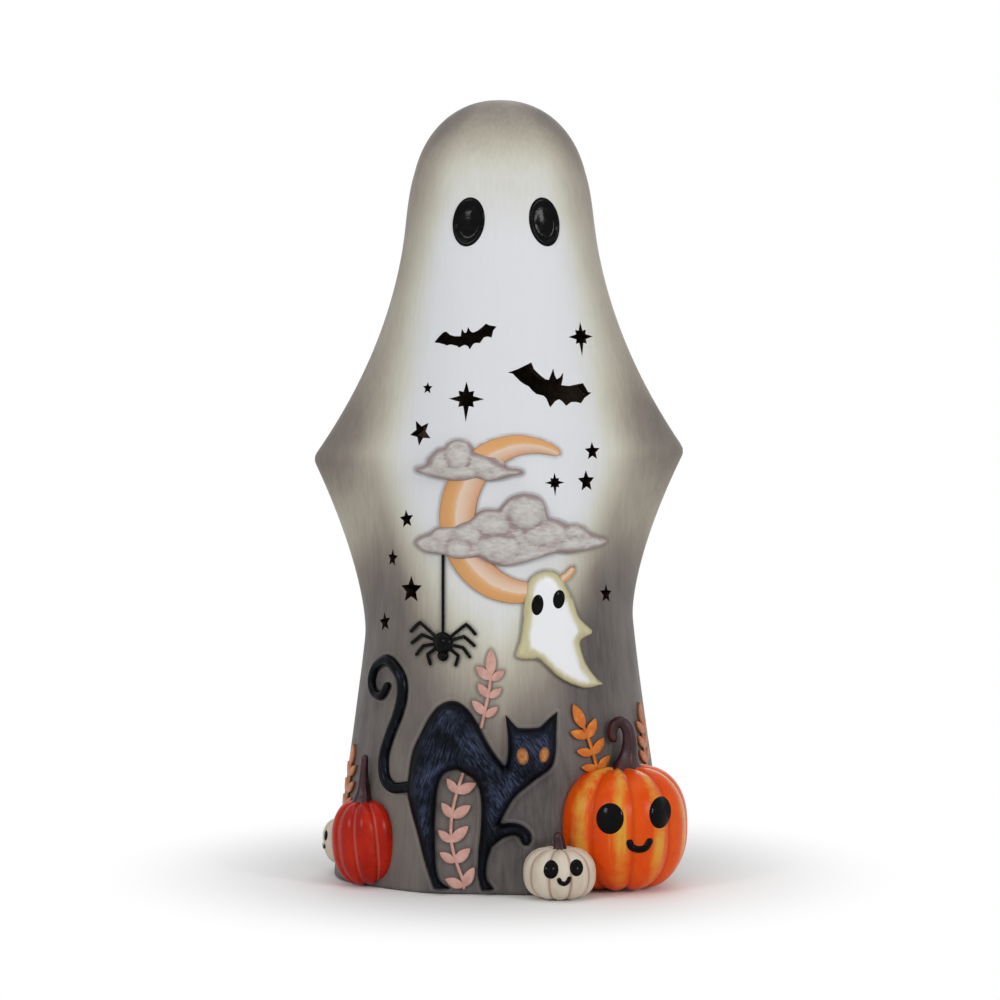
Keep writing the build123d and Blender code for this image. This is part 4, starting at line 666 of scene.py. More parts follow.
LOWER_CLOUD_EDGE = (
    ((-26.6, 105.2), (-24.7, 107.1), (-21.7, 108.2), (-19.0, 110.2), (-12.7, 110.9)),
    ((-12.7, 110.9), (-8.9, 112.9), (-5.1, 115.9), (0.0, 115.8)),
    ((0.0, 115.8), (1.4, 117.9), (3.6, 119.8), (7.4, 120.8), (11.2, 119.9), (13.4, 117.9), (14.7, 113.1)),
    ((14.7, 113.1), (17.7, 112.5), (20.1, 110.6)),
    ((20.1, 110.6), (23.4, 111.0), (28.0, 107.9), (33.2, 105.6)),
    ((33.2, 105.6), (30.2, 103.8), (22.6, 102.5), (17.2, 102.8)),
    ((17.2, 102.8), (11.2, 101.1), (1.4, 99.0), (-6.2, 101.7)),
    ((-6.2, 101.7), (-11.7, 100.9), (-17.1, 102.2)),
    ((-17.1, 102.2), (-23.1, 102.8), (-26.6, 105.2)),
)
LOWER_CLOUD_PUFFS = (
    (7.8, 115.0, 6.1, 5.7, 5.2), (-9.8, 108.4, 5.6, 4.0, 3.7), (-12.6, 104.4, 4.8, 3.5, 4.2),
    (-20.6, 105.3, 5.2, 2.5, 3.2), (-0.4, 104.4, 7.6, 4.9, 4.8), (-1.8, 111.2, 7.4, 4.2, 3.7),
    (13.8, 108.4, 8.4, 4.4, 4.1), (22.6, 105.4, 6.4, 2.5, 3.5), (24.0, 108.6, 2.6, 1.8, 3.2),
    (29.0, 105.2, 4.0, 1.2, 2.8),
)
CLOUD_WALL, CLOUD_BED, CLOUD_BED_EDGE, RELIEF_ROOT = 1.2, 2.7, 2.4, 0.5
CLOUD_FOLD_SIZE, CLOUD_FOLD_DEPTH, CLOUD_SOFTENING, FOLD_PASSES = 0.0050, 0.0005, 12, 30
PRESSED_VOXEL, SLAB_SOFTENING, FACE_SOFTENING = 0.00034, 3, 4
CLEAN_CUT = {"clear_outer": True, "use_fill": True, "threshold": 1e-6}


def curve_through(points, steps=8):
    """A smooth line through points, in even steps between each two."""
    points = np.asarray(points, float)
    held = np.vstack((2 * points[0] - points[1], points, 2 * points[-1] - points[-2]))
    share = np.linspace(0, 1, steps, endpoint=False)[:, None]
    spans = []
    for before, start, end, after in zip(held, held[1:], held[2:], held[3:]):
        slope, bend = end - before, 2 * before - 5 * start + 4 * end - after
        twist = 3 * start - before - 3 * end + after
        spans.append(start + (slope * share + bend * share**2 + twist * share**3) / 2)
    return np.vstack((*spans, points[-1:]))


def edge_of(runs):
    """A closed edge from smooth runs that meet in corners."""
    return np.vstack([curve_through(run)[:-1] for run in runs])


def from_edge(points, edge):
    """Distance of flat points from a closed edge, seen from the front."""
    places = points[:, [0, 2]]
    nearest = np.full(len(places), np.inf)
    for start, end in zip(edge, np.roll(edge, -1, axis=0)):
        run = end - start
        share = np.clip((places - start) @ run / max(run @ run, 1e-12), 0, 1)
        gap = places - start - share[:, None] * run
        nearest = np.minimum(nearest, np.hypot(gap[:, 0], gap[:, 1]))
    return nearest


def swelling(points, swells):
    """Millimetres that soft mounds add at flat points."""
    total = np.zeros(len(points))
    for x, z, half_width, half_height, amount in swells:
        aside, above = (points[:, 0] / MM - x) / half_width, (points[:, 2] / MM - z) / half_height
        total += amount * np.exp(-(aside**2) - above**2)
    return total


def soften(piece, passes):
    apply(piece, "SMOOTH", factor=0.5, iterations=passes)


def pressed(name, edge, wall, rise, rounding, swells=()):
    """A sprig from a press mould, still flat: a slab with a wall at its edge and a swelling face."""
    edge = np.asarray(edge, float) * MM
    piece = ngon(name, [(x, RELIEF_ROOT * MM, z) for x, z in edge])
    extrude(piece, (0, -(RELIEF_ROOT + wall) * MM, 0))
    apply(piece, "REMESH", mode="VOXEL", voxel_size=PRESSED_VOXEL)
    soften(piece, SLAB_SOFTENING)
    points = points_of(piece)
    inside = from_edge(points, edge)
    profile = np.sqrt(1 - (1 - np.clip(inside / (rounding * MM), 0, 1)) ** 2)
    lift = rise - wall + swelling(points, swells)
    front = np.clip(-points[:, 1] / (wall * MM), 0, 1)
    points[:, 1] -= front * profile * lift * MM
    set_points(piece, points)
    soften(piece, FACE_SOFTENING)
    return piece


def lump(x, z, half_width, half_height, rise):
    """A flattened ball in the flat, centred on the skin."""
    bpy.ops.object.select_all(action="DESELECT")
    place, size = (x * MM, 0, z * MM), (half_width * MM, rise * MM, half_height * MM)
    bpy.ops.mesh.primitive_uv_sphere_add(segments=32, ring_count=20, radius=1, location=place, scale=size)
    bpy.ops.object.transform_apply(location=True, rotation=False, scale=True)
    return bpy.context.object


def trim_root(piece):
    """Cuts a flat piece off just under the skin."""
    root = {"plane_co": (0, RELIEF_ROOT * MM, 0), "plane_no": (0, 1, 0), **CLEAN_CUT}
    edit(piece, (bpy.ops.mesh.bisect, root), FACES_OUT)


def hollows(piece):
    """How hollow a piece is at each point, in metres: above 0 in a groove and below 0 on a ridge."""
    starts, ends = rows_of(piece.data.edges, "vertices", 2, np.int32).T
    here, there = np.concatenate((starts, ends)), np.concatenate((ends, starts))
    normals = rows_of(piece.data.vertices, "normal", 3)
    count = len(normals)
    links = np.maximum(np.bincount(here, minlength=count), 1)

    def around(values):
        return np.stack([np.bincount(here, column[there], count) / links for column in values.T], axis=1)

    points = points_of(piece)
    spread = points
    for _ in range(FOLD_PASSES):
        spread = around(spread)
    bend = np.sum((spread - points) * normals, axis=1, keepdims=True)
    return around(bend)[:, 0]


cloud_folds = bpy.data.textures.new("cloud_folds", "CLOUDS")
cloud_folds.noise_scale = CLOUD_FOLD_SIZE
cloud_folds.noise_depth = 2


def cloud(name, runs, puffs):
    """A bed with puffs piled on it, its folds and its rim kept for the wash, painted shade and highlight."""
    edge = edge_of(runs)
    bed = pressed(name, edge, CLOUD_WALL, CLOUD_BED, CLOUD_BED_EDGE)
    piece = join([bed] + [lump(*puff) for puff in puffs])
    apply(piece, "REMESH", mode="VOXEL", voxel_size=PRESSED_VOXEL)
    apply(piece, "DISPLACE", texture=cloud_folds, strength=CLOUD_FOLD_DEPTH, mid_level=0.5)
    soften(piece, CLOUD_SOFTENING)
    trim_root(piece)
    store(piece, "hollow", hollows(piece))
    store(piece, "inside", from_edge(points_of(piece), edge * MM))
    lay_on_body(piece)
    return piece


cloud_paint = Finish("cloud_paint")
cloud_grain = cloud_paint.noise(900, stretch=(0.5, 0.5, 1.3))
cloud_patches = cloud_paint.noise(130, detail=3)
cloud_colour = cloud_paint.ramp(cloud_grain, ((0.3, "b5afac"), (0.5, "beb9b5"), (0.7, "c8c4bf")))
stained_patch = cloud_paint.band(cloud_patches, 0.5, 0.68, 0.0, 0.4)
cloud_colour = cloud_paint.mix(stained_patch, cloud_colour, "a58f90")
# Swells are lightened and folds and rims darkened: partly dry brush and mauve wash, partly painted highlight
# and shade.
bristle_marks = cloud_paint.band(cloud_grain, 0.3, 0.7, 0.00008, -0.00008)
brushed_hollow = cloud_paint.plus(cloud_paint.attribute("hollow"), bristle_marks)
swell_dry_brush_and_highlight = cloud_paint.band(brushed_hollow, -0.00006, -0.00030, 0.0, 0.75)
cloud_colour = cloud_paint.mix(swell_dry_brush_and_highlight, cloud_colour, "d0cec7")
fold_wash_and_shade = cloud_paint.band(brushed_hollow, -0.00002, 0.00026, 0.0, 0.75)
cloud_colour = cloud_paint.mix(fold_wash_and_shade, cloud_colour, "8c7276")
wavy_rim = cloud_paint.band(cloud_patches, 0.35, 0.65, -0.0004, 0.0004)
from_rim = cloud_paint.plus(cloud_paint.attribute("inside"), wavy_rim)
rim_wash_and_shade = cloud_paint.band(from_rim, 0.0002, 0.0016, 0.8, 0.0)
cloud_paint.paint(cloud_paint.mix(rim_wash_and_shade, cloud_colour, "8c7274"))
cloud_paint.uneven(cloud_grain, 0.0003, strength=0.2)
upper_cloud = cloud("upper_cloud_puffs", UPPER_CLOUD_EDGE, UPPER_CLOUD_PUFFS)
lower_cloud = cloud("lower_cloud_puffs", LOWER_CLOUD_EDGE, LOWER_CLOUD_PUFFS)
fix(upper_cloud, cloud_paint, "cloud_paint", "upper_cloud", angle=80)
fix(lower_cloud, cloud_paint, "cloud_paint", "lower_cloud", angle=80)


# Spider and its thread: rolled clay, a round belly and head with eight bent legs, hung from the lower
# cloud and painted black.
SPIDER_CENTRE = (-17.3, 75.5)
SPIDER_BELLY, SPIDER_BELLY_STRETCH, SPIDER_BELLY_RISE = 3.0, 1.1, 2.3
SPIDER_HEAD, SPIDER_HEAD_DROP, SPIDER_HEAD_RISE = 1.7, 3.9, 1.8
SPIDER_KNEES = ((7.1, 5.9), (6.4, 2.2), (6.0, -1.1), (4.7, -3.7))
SPIDER_FEET = ((9.8, 3.0), (9.5, -0.5), (8.1, -3.9), (3.9, -6.5))
SPIDER_LEG, SPIDER_LEG_RISES = 0.52, (0.9, 0.9, 0.85, 0.4)
KNEE_START, KNEE_END, THIN_ROD_SIDES = 0.92, 0.12, 10
THREAD, THREAD_RISE, THREAD_FOOT, THREAD_TOP, THREAD_STEPS = 0.45, 0.4, 0.8, 103.0, 60


def rod(name, path, radii, sides=14, flutes=0, flute_depth=0.0):
    """A round rod with domed ends along a path in the flat; the path and radii are in millimetres."""
    path = np.asarray(path, float)
    radii = np.broadcast_to(np.asarray(radii, float), len(path))
    along = np.gradient(path, axis=0)
    along = along / np.linalg.norm(along, axis=1, keepdims=True)
    across = np.cross(along, (0.0, -1.0, 0.0))
    across = across / np.linalg.norm(across, axis=1, keepdims=True)
    upright = np.cross(across, along)
    angles = np.linspace(0, 2 * pi, sides, endpoint=False)
    wave = (1 + flute_depth * np.cos(flutes * angles))[:, None]
    spokes = np.cos(angles)[:, None] * wave, np.sin(angles)[:, None] * wave

    def ring(number, scale, shift):
        place = path[number] + along[number] * shift * radii[number]
        spread = spokes[0] * across[number] + spokes[1] * upright[number]
        return (place + spread * radii[number] * scale) * MM

    domes = np.radians((0, 25, 50, 70))
    rings = [ring(0, sin(angle), -cos(angle)) for angle in domes]
    rings += [ring(number, 1.0, 0.0) for number in range(len(path))]
    rings += [ring(-1, sin(angle), cos(angle)) for angle in domes[::-1]]
    return loft(name, rings)


spider_x, spider_z = SPIDER_CENTRE
belly = (SPIDER_BELLY, SPIDER_BELLY * SPIDER_BELLY_STRETCH, SPIDER_BELLY_RISE)
head = (SPIDER_HEAD, SPIDER_HEAD, SPIDER_HEAD_RISE)
spider_parts = [lump(spider_x, spider_z, *belly), lump(spider_x, spider_z - SPIDER_HEAD_DROP, *head)]
for side in (-1, 1):
    for knee, foot in zip(np.array(SPIDER_KNEES), np.array(SPIDER_FEET)):
        joints = (knee * 0, knee * KNEE_START, knee + (foot - knee) * KNEE_END, foot)
        rises = zip(joints, SPIDER_LEG_RISES)
        leg = curve_through([(spider_x + side * x, -rise, spider_z + z) for (x, z), rise in rises], 5)
        spider_parts.append(rod("leg", leg, SPIDER_LEG, THIN_ROD_SIDES))
spider = join(spider_parts)
spider.name = "spider_figure"
lay_on_body(spider)
fix(spider, enamel, "black_gloss", "spider")
thread_heights = np.linspace(spider_z + SPIDER_BELLY * THREAD_FOOT, THREAD_TOP, THREAD_STEPS)
thread_path = [(spider_x, -THREAD_RISE, z) for z in thread_heights]
thread = rod("spider_thread_line", thread_path, THREAD, THIN_ROD_SIDES)
lay_on_body(thread)
fix(thread, enamel, "black_gloss", "spider_thread")


# Small ghost: a pressed sprig like a blown handkerchief with two stub arms and a trailing hem, painted
# white in the middle and shaded olive cream round its edge. Its eyes are dabs of black enamel.
SMALL_GHOST_EDGE = (
    (
        (5.2, 73.9), (6.3, 77.7), (6.9, 83.2), (7.4, 88.7), (8.5, 94.1), (11.0, 96.6), (14.3, 97.4),
        (18.1, 95.8), (21.9, 88.7), (24.0, 83.0), (26.9, 79.9), (28.1, 78.6), (27.7, 77.5), (25.8, 76.7),
        (24.4, 75.6), (24.9, 72.3), (26.3, 68.5), (29.0, 64.6), (31.5, 62.1),
    ),
    (
        (31.5, 62.1), (26.3, 61.4), (22.5, 62.5), (18.6, 64.6), (15.4, 67.4), (12.6, 70.1), (11.0, 70.9),
        (8.8, 70.8), (6.1, 70.9), (4.7, 72.0), (5.2, 73.9),
    ),
)
SMALL_GHOST_WALL, SMALL_GHOST_RISE, SMALL_GHOST_ROUND = 0.8, 3.0, 3.6
SMALL_GHOST_SHADING = ((7.4, 73.6, 3.2, 3.6, 2.6), (26.6, 78.2, 2.6, 2.4, 2.6), (8.0, 86.0, 3.0, 9.0, 0.9))
SMALL_GHOST_RIM, SMALL_GHOST_SHADED = 0.0005, 0.0042
SMALL_GHOST_EYES = ((11.3, 87.4, 1.8, 3.1), (17.8, 88.9, 1.8, 2.8))
SMALL_EYE_RISE, SMALL_EYE_LEAN, DAB_SIDES = 0.35, 6, 36
DAB_PROFILE = ((0.0, -0.3), (0.98, -0.3), (1.0, 0.1), (0.93, 0.5), (0.75, 0.8), (0.4, 0.97), (0.0, 1.0))


def lay_on_piece(piece, host, azimuth=0.0):
    """Takes a flat piece onto a host piece, along a look square to an azimuth."""
    turn = radians(azimuth)
    outwards, sideways = Vector((sin(turn), -cos(turn), 0)), Vector((cos(turn), sin(turn), 0))
    corners = [vertex.co for vertex in host.data.vertices]
    skin = BVHTree.FromPolygons(corners, [face.vertices for face in host.data.polygons])
    placed = []
    for x, y, z in points_of(piece):
        start = sideways * x + outwards * cad_high.y * 4 + Vector((0, 0, z))
        hit, normal, _, _ = skin.ray_cast(start, -outwards)
        placed.append(hit - (normal + outwards).normalized() * y)
    set_points(piece, placed)
    edit(piece, FACES_OUT)


def dab(name, x, z, half_width, half_height, rise, lean):
    """A low domed oval of paint, still flat."""
    return oval_relief(name, DAB_PROFILE, (x, z), (half_width, half_height), rise, lean, DAB_SIDES)


small_edge = edge_of(SMALL_GHOST_EDGE)
small_ghost = pressed("small_ghost_sprig", small_edge, SMALL_GHOST_WALL, SMALL_GHOST_RISE, SMALL_GHOST_ROUND)
flat = points_of(small_ghost)
inside = from_edge(flat, small_edge * MM)
# SMALL_GHOST_SHADING widens the olive edge band on the left side and on the stub arms: painted shade.
shaded = inside - swelling(flat, SMALL_GHOST_SHADING) * MM
store(small_ghost, "inside", np.maximum(shaded, np.minimum(inside, SMALL_GHOST_RIM)))
lay_on_body(small_ghost)
small_paint = Finish("small_ghost_paint", roughness=0.38)
small_grain = small_paint.noise(500, stretch=(1, 1, 0.3))
inset = small_paint.attribute("inside")
inset = small_paint.plus(inset, small_paint.band(small_grain, 0.3, 0.7, -0.0003, 0.0003))
small_stops = ((0.0, "968d6c"), (0.08, "c4bd94"), (0.34, "d0caa8"), (0.52, "e6e5dd"), (0.64, "f0f1f4"))
small_paint.paint(small_paint.ramp(small_paint.math("DIVIDE", inset, SMALL_GHOST_SHADED), small_stops))
small_paint.uneven(small_grain, 0.0002, strength=0.15)
fix(small_ghost, small_paint, "small_ghost_paint", "small_ghost", angle=60)
small_eyes = join([dab("small_eye", *eye, SMALL_EYE_RISE, SMALL_EYE_LEAN) for eye in SMALL_GHOST_EYES])
small_eyes.name = "small_ghost_eye_dabs"
lay_on_piece(small_eyes, small_ghost)
fix(small_eyes, enamel, "black_gloss", "small_ghost_eyes")


# Cat: a pressed sprig of an arched cat, its head turned to the front, with a rolled tail luted on.
# Blue-black paint is dry-brushed with slate strokes along the back, the flank and the face.
CAT_EDGE = (
    (
        (-20.1, 1.6), (-22.8, 9.3), (-24.9, 17.0), (-27.6, 26.5), (-28.2, 31.6), (-26.8, 41.6),
        (-24.4, 47.4), (-21.4, 53.1), (-18.4, 56.7), (-14.6, 58.2), (-11.0, 57.0), (-7.6, 53.0),
        (-2.9, 44.5), (1.6, 38.4),
    ),
    ((1.6, 38.4), (2.3, 42.4), (2.3, 47.8), (1.6, 54.4)),
    ((1.6, 54.4), (3.6, 52.1), (5.2, 50.3)),
    ((5.2, 50.3), (8.8, 50.1), (12.2, 50.3)),
    ((12.2, 50.3), (14.8, 52.8), (17.4, 54.8)),
    (
        (17.4, 54.8), (17.1, 48.6), (16.8, 41.8), (15.3, 37.9), (10.6, 34.4), (4.9, 29.9), (1.6, 24.8),
        (0.0, 21.4),
    ),
    (
        (0.0, 21.4), (3.1, 21.9), (6.6, 21.2), (9.2, 18.8), (9.5, 16.4), (8.2, 15.0), (6.6, 15.8),
        (5.8, 17.4), (4.0, 18.2), (1.0, 17.2), (-2.5, 14.6),
    ),
    ((-2.5, 14.6), (-3.9, 9.6), (-3.9, 4.8), (-1.2, 1.4)),
    ((-5.6, 1.2), (-6.7, 6.0), (-6.6, 12.9), (-5.8, 22.0), (-6.0, 30.0), (-8.0, 34.6), (-13.0, 37.6)),
    ((-13.0, 37.6), (-16.6, 36.4), (-18.6, 32.4), (-19.5, 24.0), (-19.6, 15.0), (-18.6, 5.0), (-14.0, 1.4)),
)
CAT_WALL, CAT_RISE, CAT_ROUND = 0.9, 4.0, 3.4
CAT_SWELLS = (
    (9.2, 42.5, 6.0, 5.5, 0.9), (-14.0, 48.0, 7.0, 8.0, 0.6), (-22.8, 30.0, 4.0, 11.0, 0.5),
    (-1.5, 29.0, 5.0, 9.0, 0.5), (2.2, 37.0, 2.4, 2.6, -0.4), (2.9, 51.2, 1.3, 2.6, -1.4),
    (15.9, 51.2, 1.2, 2.4, -1.4), (9.9, 39.2, 2.2, 1.6, 0.4),
)
CAT_EYES, CAT_EYE_RISE = ((6.8, 42.3, 1.8, 2.6, -6), (13.3, 42.6, 1.5, 2.4, 10)), 0.3
RUMP_HAIR_LEAN, CHEST_HAIR_LEAN, CAT_CHEST = radians(-16), radians(34), (-0.017, -0.008)
cat_edge = edge_of(CAT_EDGE)
cat = pressed("cat_sprig", cat_edge, CAT_WALL, CAT_RISE, CAT_ROUND, CAT_SWELLS)
store(cat, "inside", from_edge(points_of(cat), cat_edge * MM))
lay_on_body(cat)
cat_paint = Finish("cat_paint", roughness=0.34, gloss=0.06)
rump_hair = cat_paint.noise(2100, stretch=(1, 1, 0.14), turn=(0, RUMP_HAIR_LEAN, 0))
chest_hair = cat_paint.noise(2100, stretch=(1, 1, 0.14), turn=(0, CHEST_HAIR_LEAN, 0))
sideways = cat_paint.node("SeparateXYZ", {0: cat_paint.place}).outputs["X"]
on_chest = cat_paint.band(sideways, *CAT_CHEST)
cat_hair = cat_paint.node("Mix", {0: on_chest, 2: rump_hair, 3: chest_hair}).outputs[0]
cat_mottle = cat_paint.noise(120)
worn = cat_paint.band(cat_mottle, 0.34, 0.62, 0.2, 1.0)
brushed = cat_paint.times(cat_paint.band(cat_hair, 0.36, 0.74), worn)
brushed = cat_paint.times(brushed, cat_paint.band(cat_paint.attribute("inside"), 0.0009, 0.0030))
cat_colour = cat_paint.mix(cat_paint.band(cat_mottle, 0.35, 0.7), "05060a", "0d111d")
cat_paint.paint(cat_paint.mix(cat_paint.times(brushed, 0.62), cat_colour, "596483"))
cat_paint.uneven(cat_hair, 0.0003, strength=0.25, roughness=cat_paint.band(brushed, 0.0, 1.0, 0.28, 0.5))
fix(cat, cat_paint, "cat_paint", "cat", angle=60)

amber = Finish("amber_paint", roughness=0.35, gloss=0.25)
amber_flecks = amber.noise(900, detail=3)
amber_colour = amber.ramp(amber_flecks, ((0.3, "8f5a30"), (0.5, "b0703a"), (0.7, "c98d55")))
amber.paint(amber.mix(amber.band(amber.attribute("rim"), 0.45, 1.0, 0.0, 0.7), amber_colour, "4d2f20"))
amber.uneven(amber_flecks, 0.0003, strength=0.3)
cat_eyes = []
for x, z, half_width, half_height, lean in CAT_EYES:
    eye = dab("cat_eye", x, z, half_width, half_height, CAT_EYE_RISE, lean)
    flat = points_of(eye)
    store(eye, "rim", np.hypot((flat[:, 0] / MM - x) / half_width, (flat[:, 2] / MM - z) / half_height))
    cat_eyes.append(eye)
cat_eyes = join(cat_eyes)
cat_eyes.name = "cat_eye_dabs"
lay_on_piece(cat_eyes, cat)
fix(cat_eyes, amber, "amber_paint", "cat_eyes")

TAIL_AZIMUTH, TAIL_RADIUS, TAIL_RISE, TAIL_SIDES = -40, 1.7, 0.9, 18
TAIL_TAPER = ((0, 0.7, 1), (1, 1, 0.75))
TAIL_LINE = (
    (1.5, 32.0), (0.0, 31.6), (-5.2, 31.0), (-8.8, 33.8), (-9.9, 40.2), (-8.0, 47.0), (-5.6, 53.0),
    (-4.3, 59.5), (-5.8, 65.0), (-11.3, 69.0), (-17.0, 67.0), (-19.1, 62.6), (-17.3, 58.8), (-13.2, 58.2),
    (-10.9, 61.2),
)
tail_path = curve_through([(x, -TAIL_RISE, z) for x, z in TAIL_LINE], 7)
tail_share = np.linspace(0, 1, len(tail_path))
tail_radii = TAIL_RADIUS * np.interp(tail_share, *TAIL_TAPER)
cat_tail = rod("cat_tail_roll", tail_path, tail_radii, TAIL_SIDES)
lay_on_body(cat_tail, TAIL_AZIMUTH)
tail_paint = Finish("tail_paint", roughness=0.2, gloss=0.08)
tail_hair = tail_paint.noise(500, stretch=(1, 1, 0.3))
tail_paint.paint(tail_paint.mix(tail_paint.band(tail_hair, 0.48, 0.75), "07080b", "1d2434"))
tail_paint.uneven(tail_hair, 0.0003, strength=0.2)
fix(cat_tail, tail_paint, "cat_paint", "cat_tail", angle=60)


# Sprigs: flat pressed leaves on a thin rolled stem, luted to the body between the other ornaments. Those
# by the cat are painted pink, the one over the large pumpkin orange, and those at the sides a dull peach.
LEAF_RISE, LEAF_FULLNESS, LEAF_HALF_WIDTH, SPRIG_STEM = 1.1, 0.26, 1.65, 0.55
LEAF_STEPS, LEAF_BELLY, LEAF_BLUNTNESS = 15, 0.85, 0.75
UPPER_PINK = (
    ((-2.7, 66.8), (-3.6, 60.0), (-5.7, 50.5)),
    (
        ((-2.8, 66.0), (-2.7, 74.1)), ((-3.1, 64.8), (-7.2, 68.8)), ((-2.6, 64.6), (1.3, 67.6)),
        ((-3.6, 59.6), (-6.7, 63.7)), ((-3.3, 59.4), (0.5, 62.2)), ((-4.6, 54.4), (-8.4, 58.5)),
        ((-4.4, 53.6), (-0.7, 56.7)),
    ),
)
LOWER_PINK = (
    ((-10.9, 37.2), (-13.0, 30.9), (-14.5, 24.2), (-14.8, 17.0), (-13.5, 10.8), (-11.1, 4.2), (-10.9, 2.2)),
    (
        ((-13.0, 30.7), (-16.1, 34.9)), ((-13.0, 30.7), (-7.2, 33.7)), ((-14.3, 23.2), (-17.7, 27.6)),
        ((-14.3, 23.2), (-8.9, 27.0)), ((-14.8, 15.9), (-18.8, 19.3)), ((-14.8, 15.9), (-9.6, 20.8)),
        ((-13.7, 9.8), (-18.3, 12.7)), ((-13.7, 9.8), (-9.0, 14.1)), ((-11.1, 2.6), (-16.6, 4.8)),
        ((-11.1, 2.6), (-7.7, 8.5)),
    ),
)
ORANGE = (
    ((22.9, 55.0), (25.9, 48.6), (28.2, 42.0), (30.2, 34.0)),
    (
        ((25.5, 49.4), (22.2, 56.8)), ((26.9, 46.4), (29.0, 52.1)), ((26.9, 46.6), (21.3, 48.6)),
        ((28.4, 41.3), (31.6, 46.0)), ((28.3, 41.4), (23.2, 42.8)), ((29.9, 36.7), (33.4, 40.5)),
        ((29.6, 36.8), (24.7, 37.8)),
    ),
)
LEFT_SIDE = (
    ((-1.0, 36.0), (-0.2, 27.0), (0.0, 18.0)),
    (
        ((-1.0, 35.0), (-1.6, 41.6)), ((-0.8, 32.0), (-4.6, 36.0)), ((-0.6, 32.0), (3.0, 35.6)),
        ((-0.4, 27.0), (-4.4, 31.0)), ((-0.2, 27.0), (3.6, 30.6)), ((0.0, 22.0), (-3.9, 26.0)),
        ((0.0, 22.0), (3.9, 25.8)),
    ),
)
RIGHT_SIDE = (
    ((1.0, 49.0), (0.2, 41.0), (0.0, 33.0)),
    (
        ((1.0, 48.0), (1.6, 54.6)), ((0.8, 45.4), (-3.0, 49.2)), ((0.8, 45.4), (4.6, 49.0)),
        ((0.4, 41.0), (-3.6, 44.8)), ((0.4, 41.0), (4.4, 44.8)), ((0.1, 36.6), (-3.8, 40.4)),
        ((0.1, 36.6), (4.0, 40.4)),
    ),
)
LEAF_PROFILE = ((0.0, -0.4), (1.0, -0.4), (1.0, 0.6), (0.95, 0.86), (0.85, 0.97), (0.5, 1.0), (0.0, 1.0))


def leaf(root, tip):
    """A flat pressed leaf with a rounded edge, from its root to its tip."""
    root, tip = np.asarray(root), np.asarray(tip)
    run = tip - root
    length = np.hypot(*run)
    across = np.array((-run[1], run[0])) / length
    along = np.concatenate((np.linspace(0, 1, LEAF_STEPS), np.linspace(1, 0, LEAF_STEPS)[1:-1]))
    side = np.where(np.arange(len(along)) < LEAF_STEPS, 1.0, -1.0)
    widest = min(LEAF_FULLNESS * length, LEAF_HALF_WIDTH)
    half = widest * np.sin(pi * along**LEAF_BELLY) ** LEAF_BLUNTNESS
    rings = []
    for scale, rise in LEAF_PROFILE:
        places = root + np.outer(along, run) + np.outer(side * half * scale, across)
        depth = -above_skin(rise, LEAF_RISE) * MM
        rings.append(np.array([(x * MM, depth, z * MM) for x, z in places]))
    return loft("leaf", rings)


def sprig(name, azimuth, plant):
    """A stem and its leaves on the body, about a plane that faces an azimuth."""
    stem, leaves = plant
    path = curve_through([(x, -SPRIG_STEM, z) for x, z in stem], 5)
    piece = join([rod(name, path, SPRIG_STEM, THIN_ROD_SIDES)] + [leaf(*ends) for ends in leaves])
    store(piece, "lift", -points_of(piece)[:, 1])
    lay_on_body(piece, azimuth)
    return piece


def leaf_paint(name, deep, middle, pale, shadow):
    """Leaf paint with painted shade round the foot."""
    finish = Finish(name, roughness=0.45)
    streaks = finish.noise(380)
    colour = finish.ramp(streaks, ((0.3, deep), (0.5, middle), (0.72, pale)))
    # Painted shade darkens each leaf and stem at its foot, where it meets the body.
    foot = finish.band(finish.attribute("lift"), 0.0004, 0.0010, 0.85, 0.0)
    finish.paint(finish.mix(foot, colour, shadow))
    finish.uneven(streaks, 0.0002, strength=0.25)
    return finish


pink_leaf = leaf_paint("pink_leaf", "bd8c80", "cb9b8f", "d6aca1", "5d4441")
orange_leaf = leaf_paint("orange_leaf", "b85c16", "cf7120", "dd8c3c", "5f3317")
peach_leaf = leaf_paint("peach_leaf", "a3603c", "b97650", "ca9070", "5a3a2c")
SPRIGS = (
    ("upper_pink_sprig", 0, UPPER_PINK, pink_leaf, "pink_leaf"),
    ("lower_pink_sprig", 0, LOWER_PINK, pink_leaf, "pink_leaf"),
    ("orange_sprig", 0, ORANGE, orange_leaf, "orange_leaf"),
    ("left_side_sprig", -74, LEFT_SIDE, peach_leaf, "orange_leaf"),
    ("right_side_sprig", 73, RIGHT_SIDE, peach_leaf, "orange_leaf"),
)
sprigs = []
for name, azimuth, plant, finish, slot in SPRIGS:
    piece = sprig(name + "_leaves", azimuth, plant)
    fix(piece, finish, slot, name, angle=50)
    sprigs.append(piece)


# Pumpkins: four hollow-pressed pumpkins set against the hem, each with swelling ribs and a dimpled crown;
# their backs are cut to the body and their feet are flat. Stems are rolled, bent and luted on.
PUMPKIN_RIBS, PUMPKIN_FULLNESS, PUMPKIN_DIMPLE = 10, 2.45, 0.11
PUMPKIN_TURNS, PUMPKIN_RINGS = 200, 72
GROOVE_CURVE, GROOVE_DEEPENING, CROWN_GROOVE, DIMPLE_GIRTH, POLE_GIRTH = 0.7, 1.2, 0.09, 0.42, 0.05
SEAT_DEPTH, CORE_SIDES, CORE_STEPS, CORE_FOOT, CORE_TOP = 0.0006, 180, 80, -0.02, 0.09
PUMPKINS = {
    "large_pumpkin": (52.0, 18.8, 0.0, 21.1, 20.2, 0, 0.05, 10),
    "white_pumpkin": (20.8, 7.6, 5.4, 11.2, 8.2, 0, 0.06, 18),
    "red_pumpkin": (-59.6, 13.4, -1.8, 11.5, 14.0, -5, 0.08, 16),
    "side_pumpkin": (-87.6, 10.2, -2.9, 7.6, 7.8, -6, 0.07, 0),
}
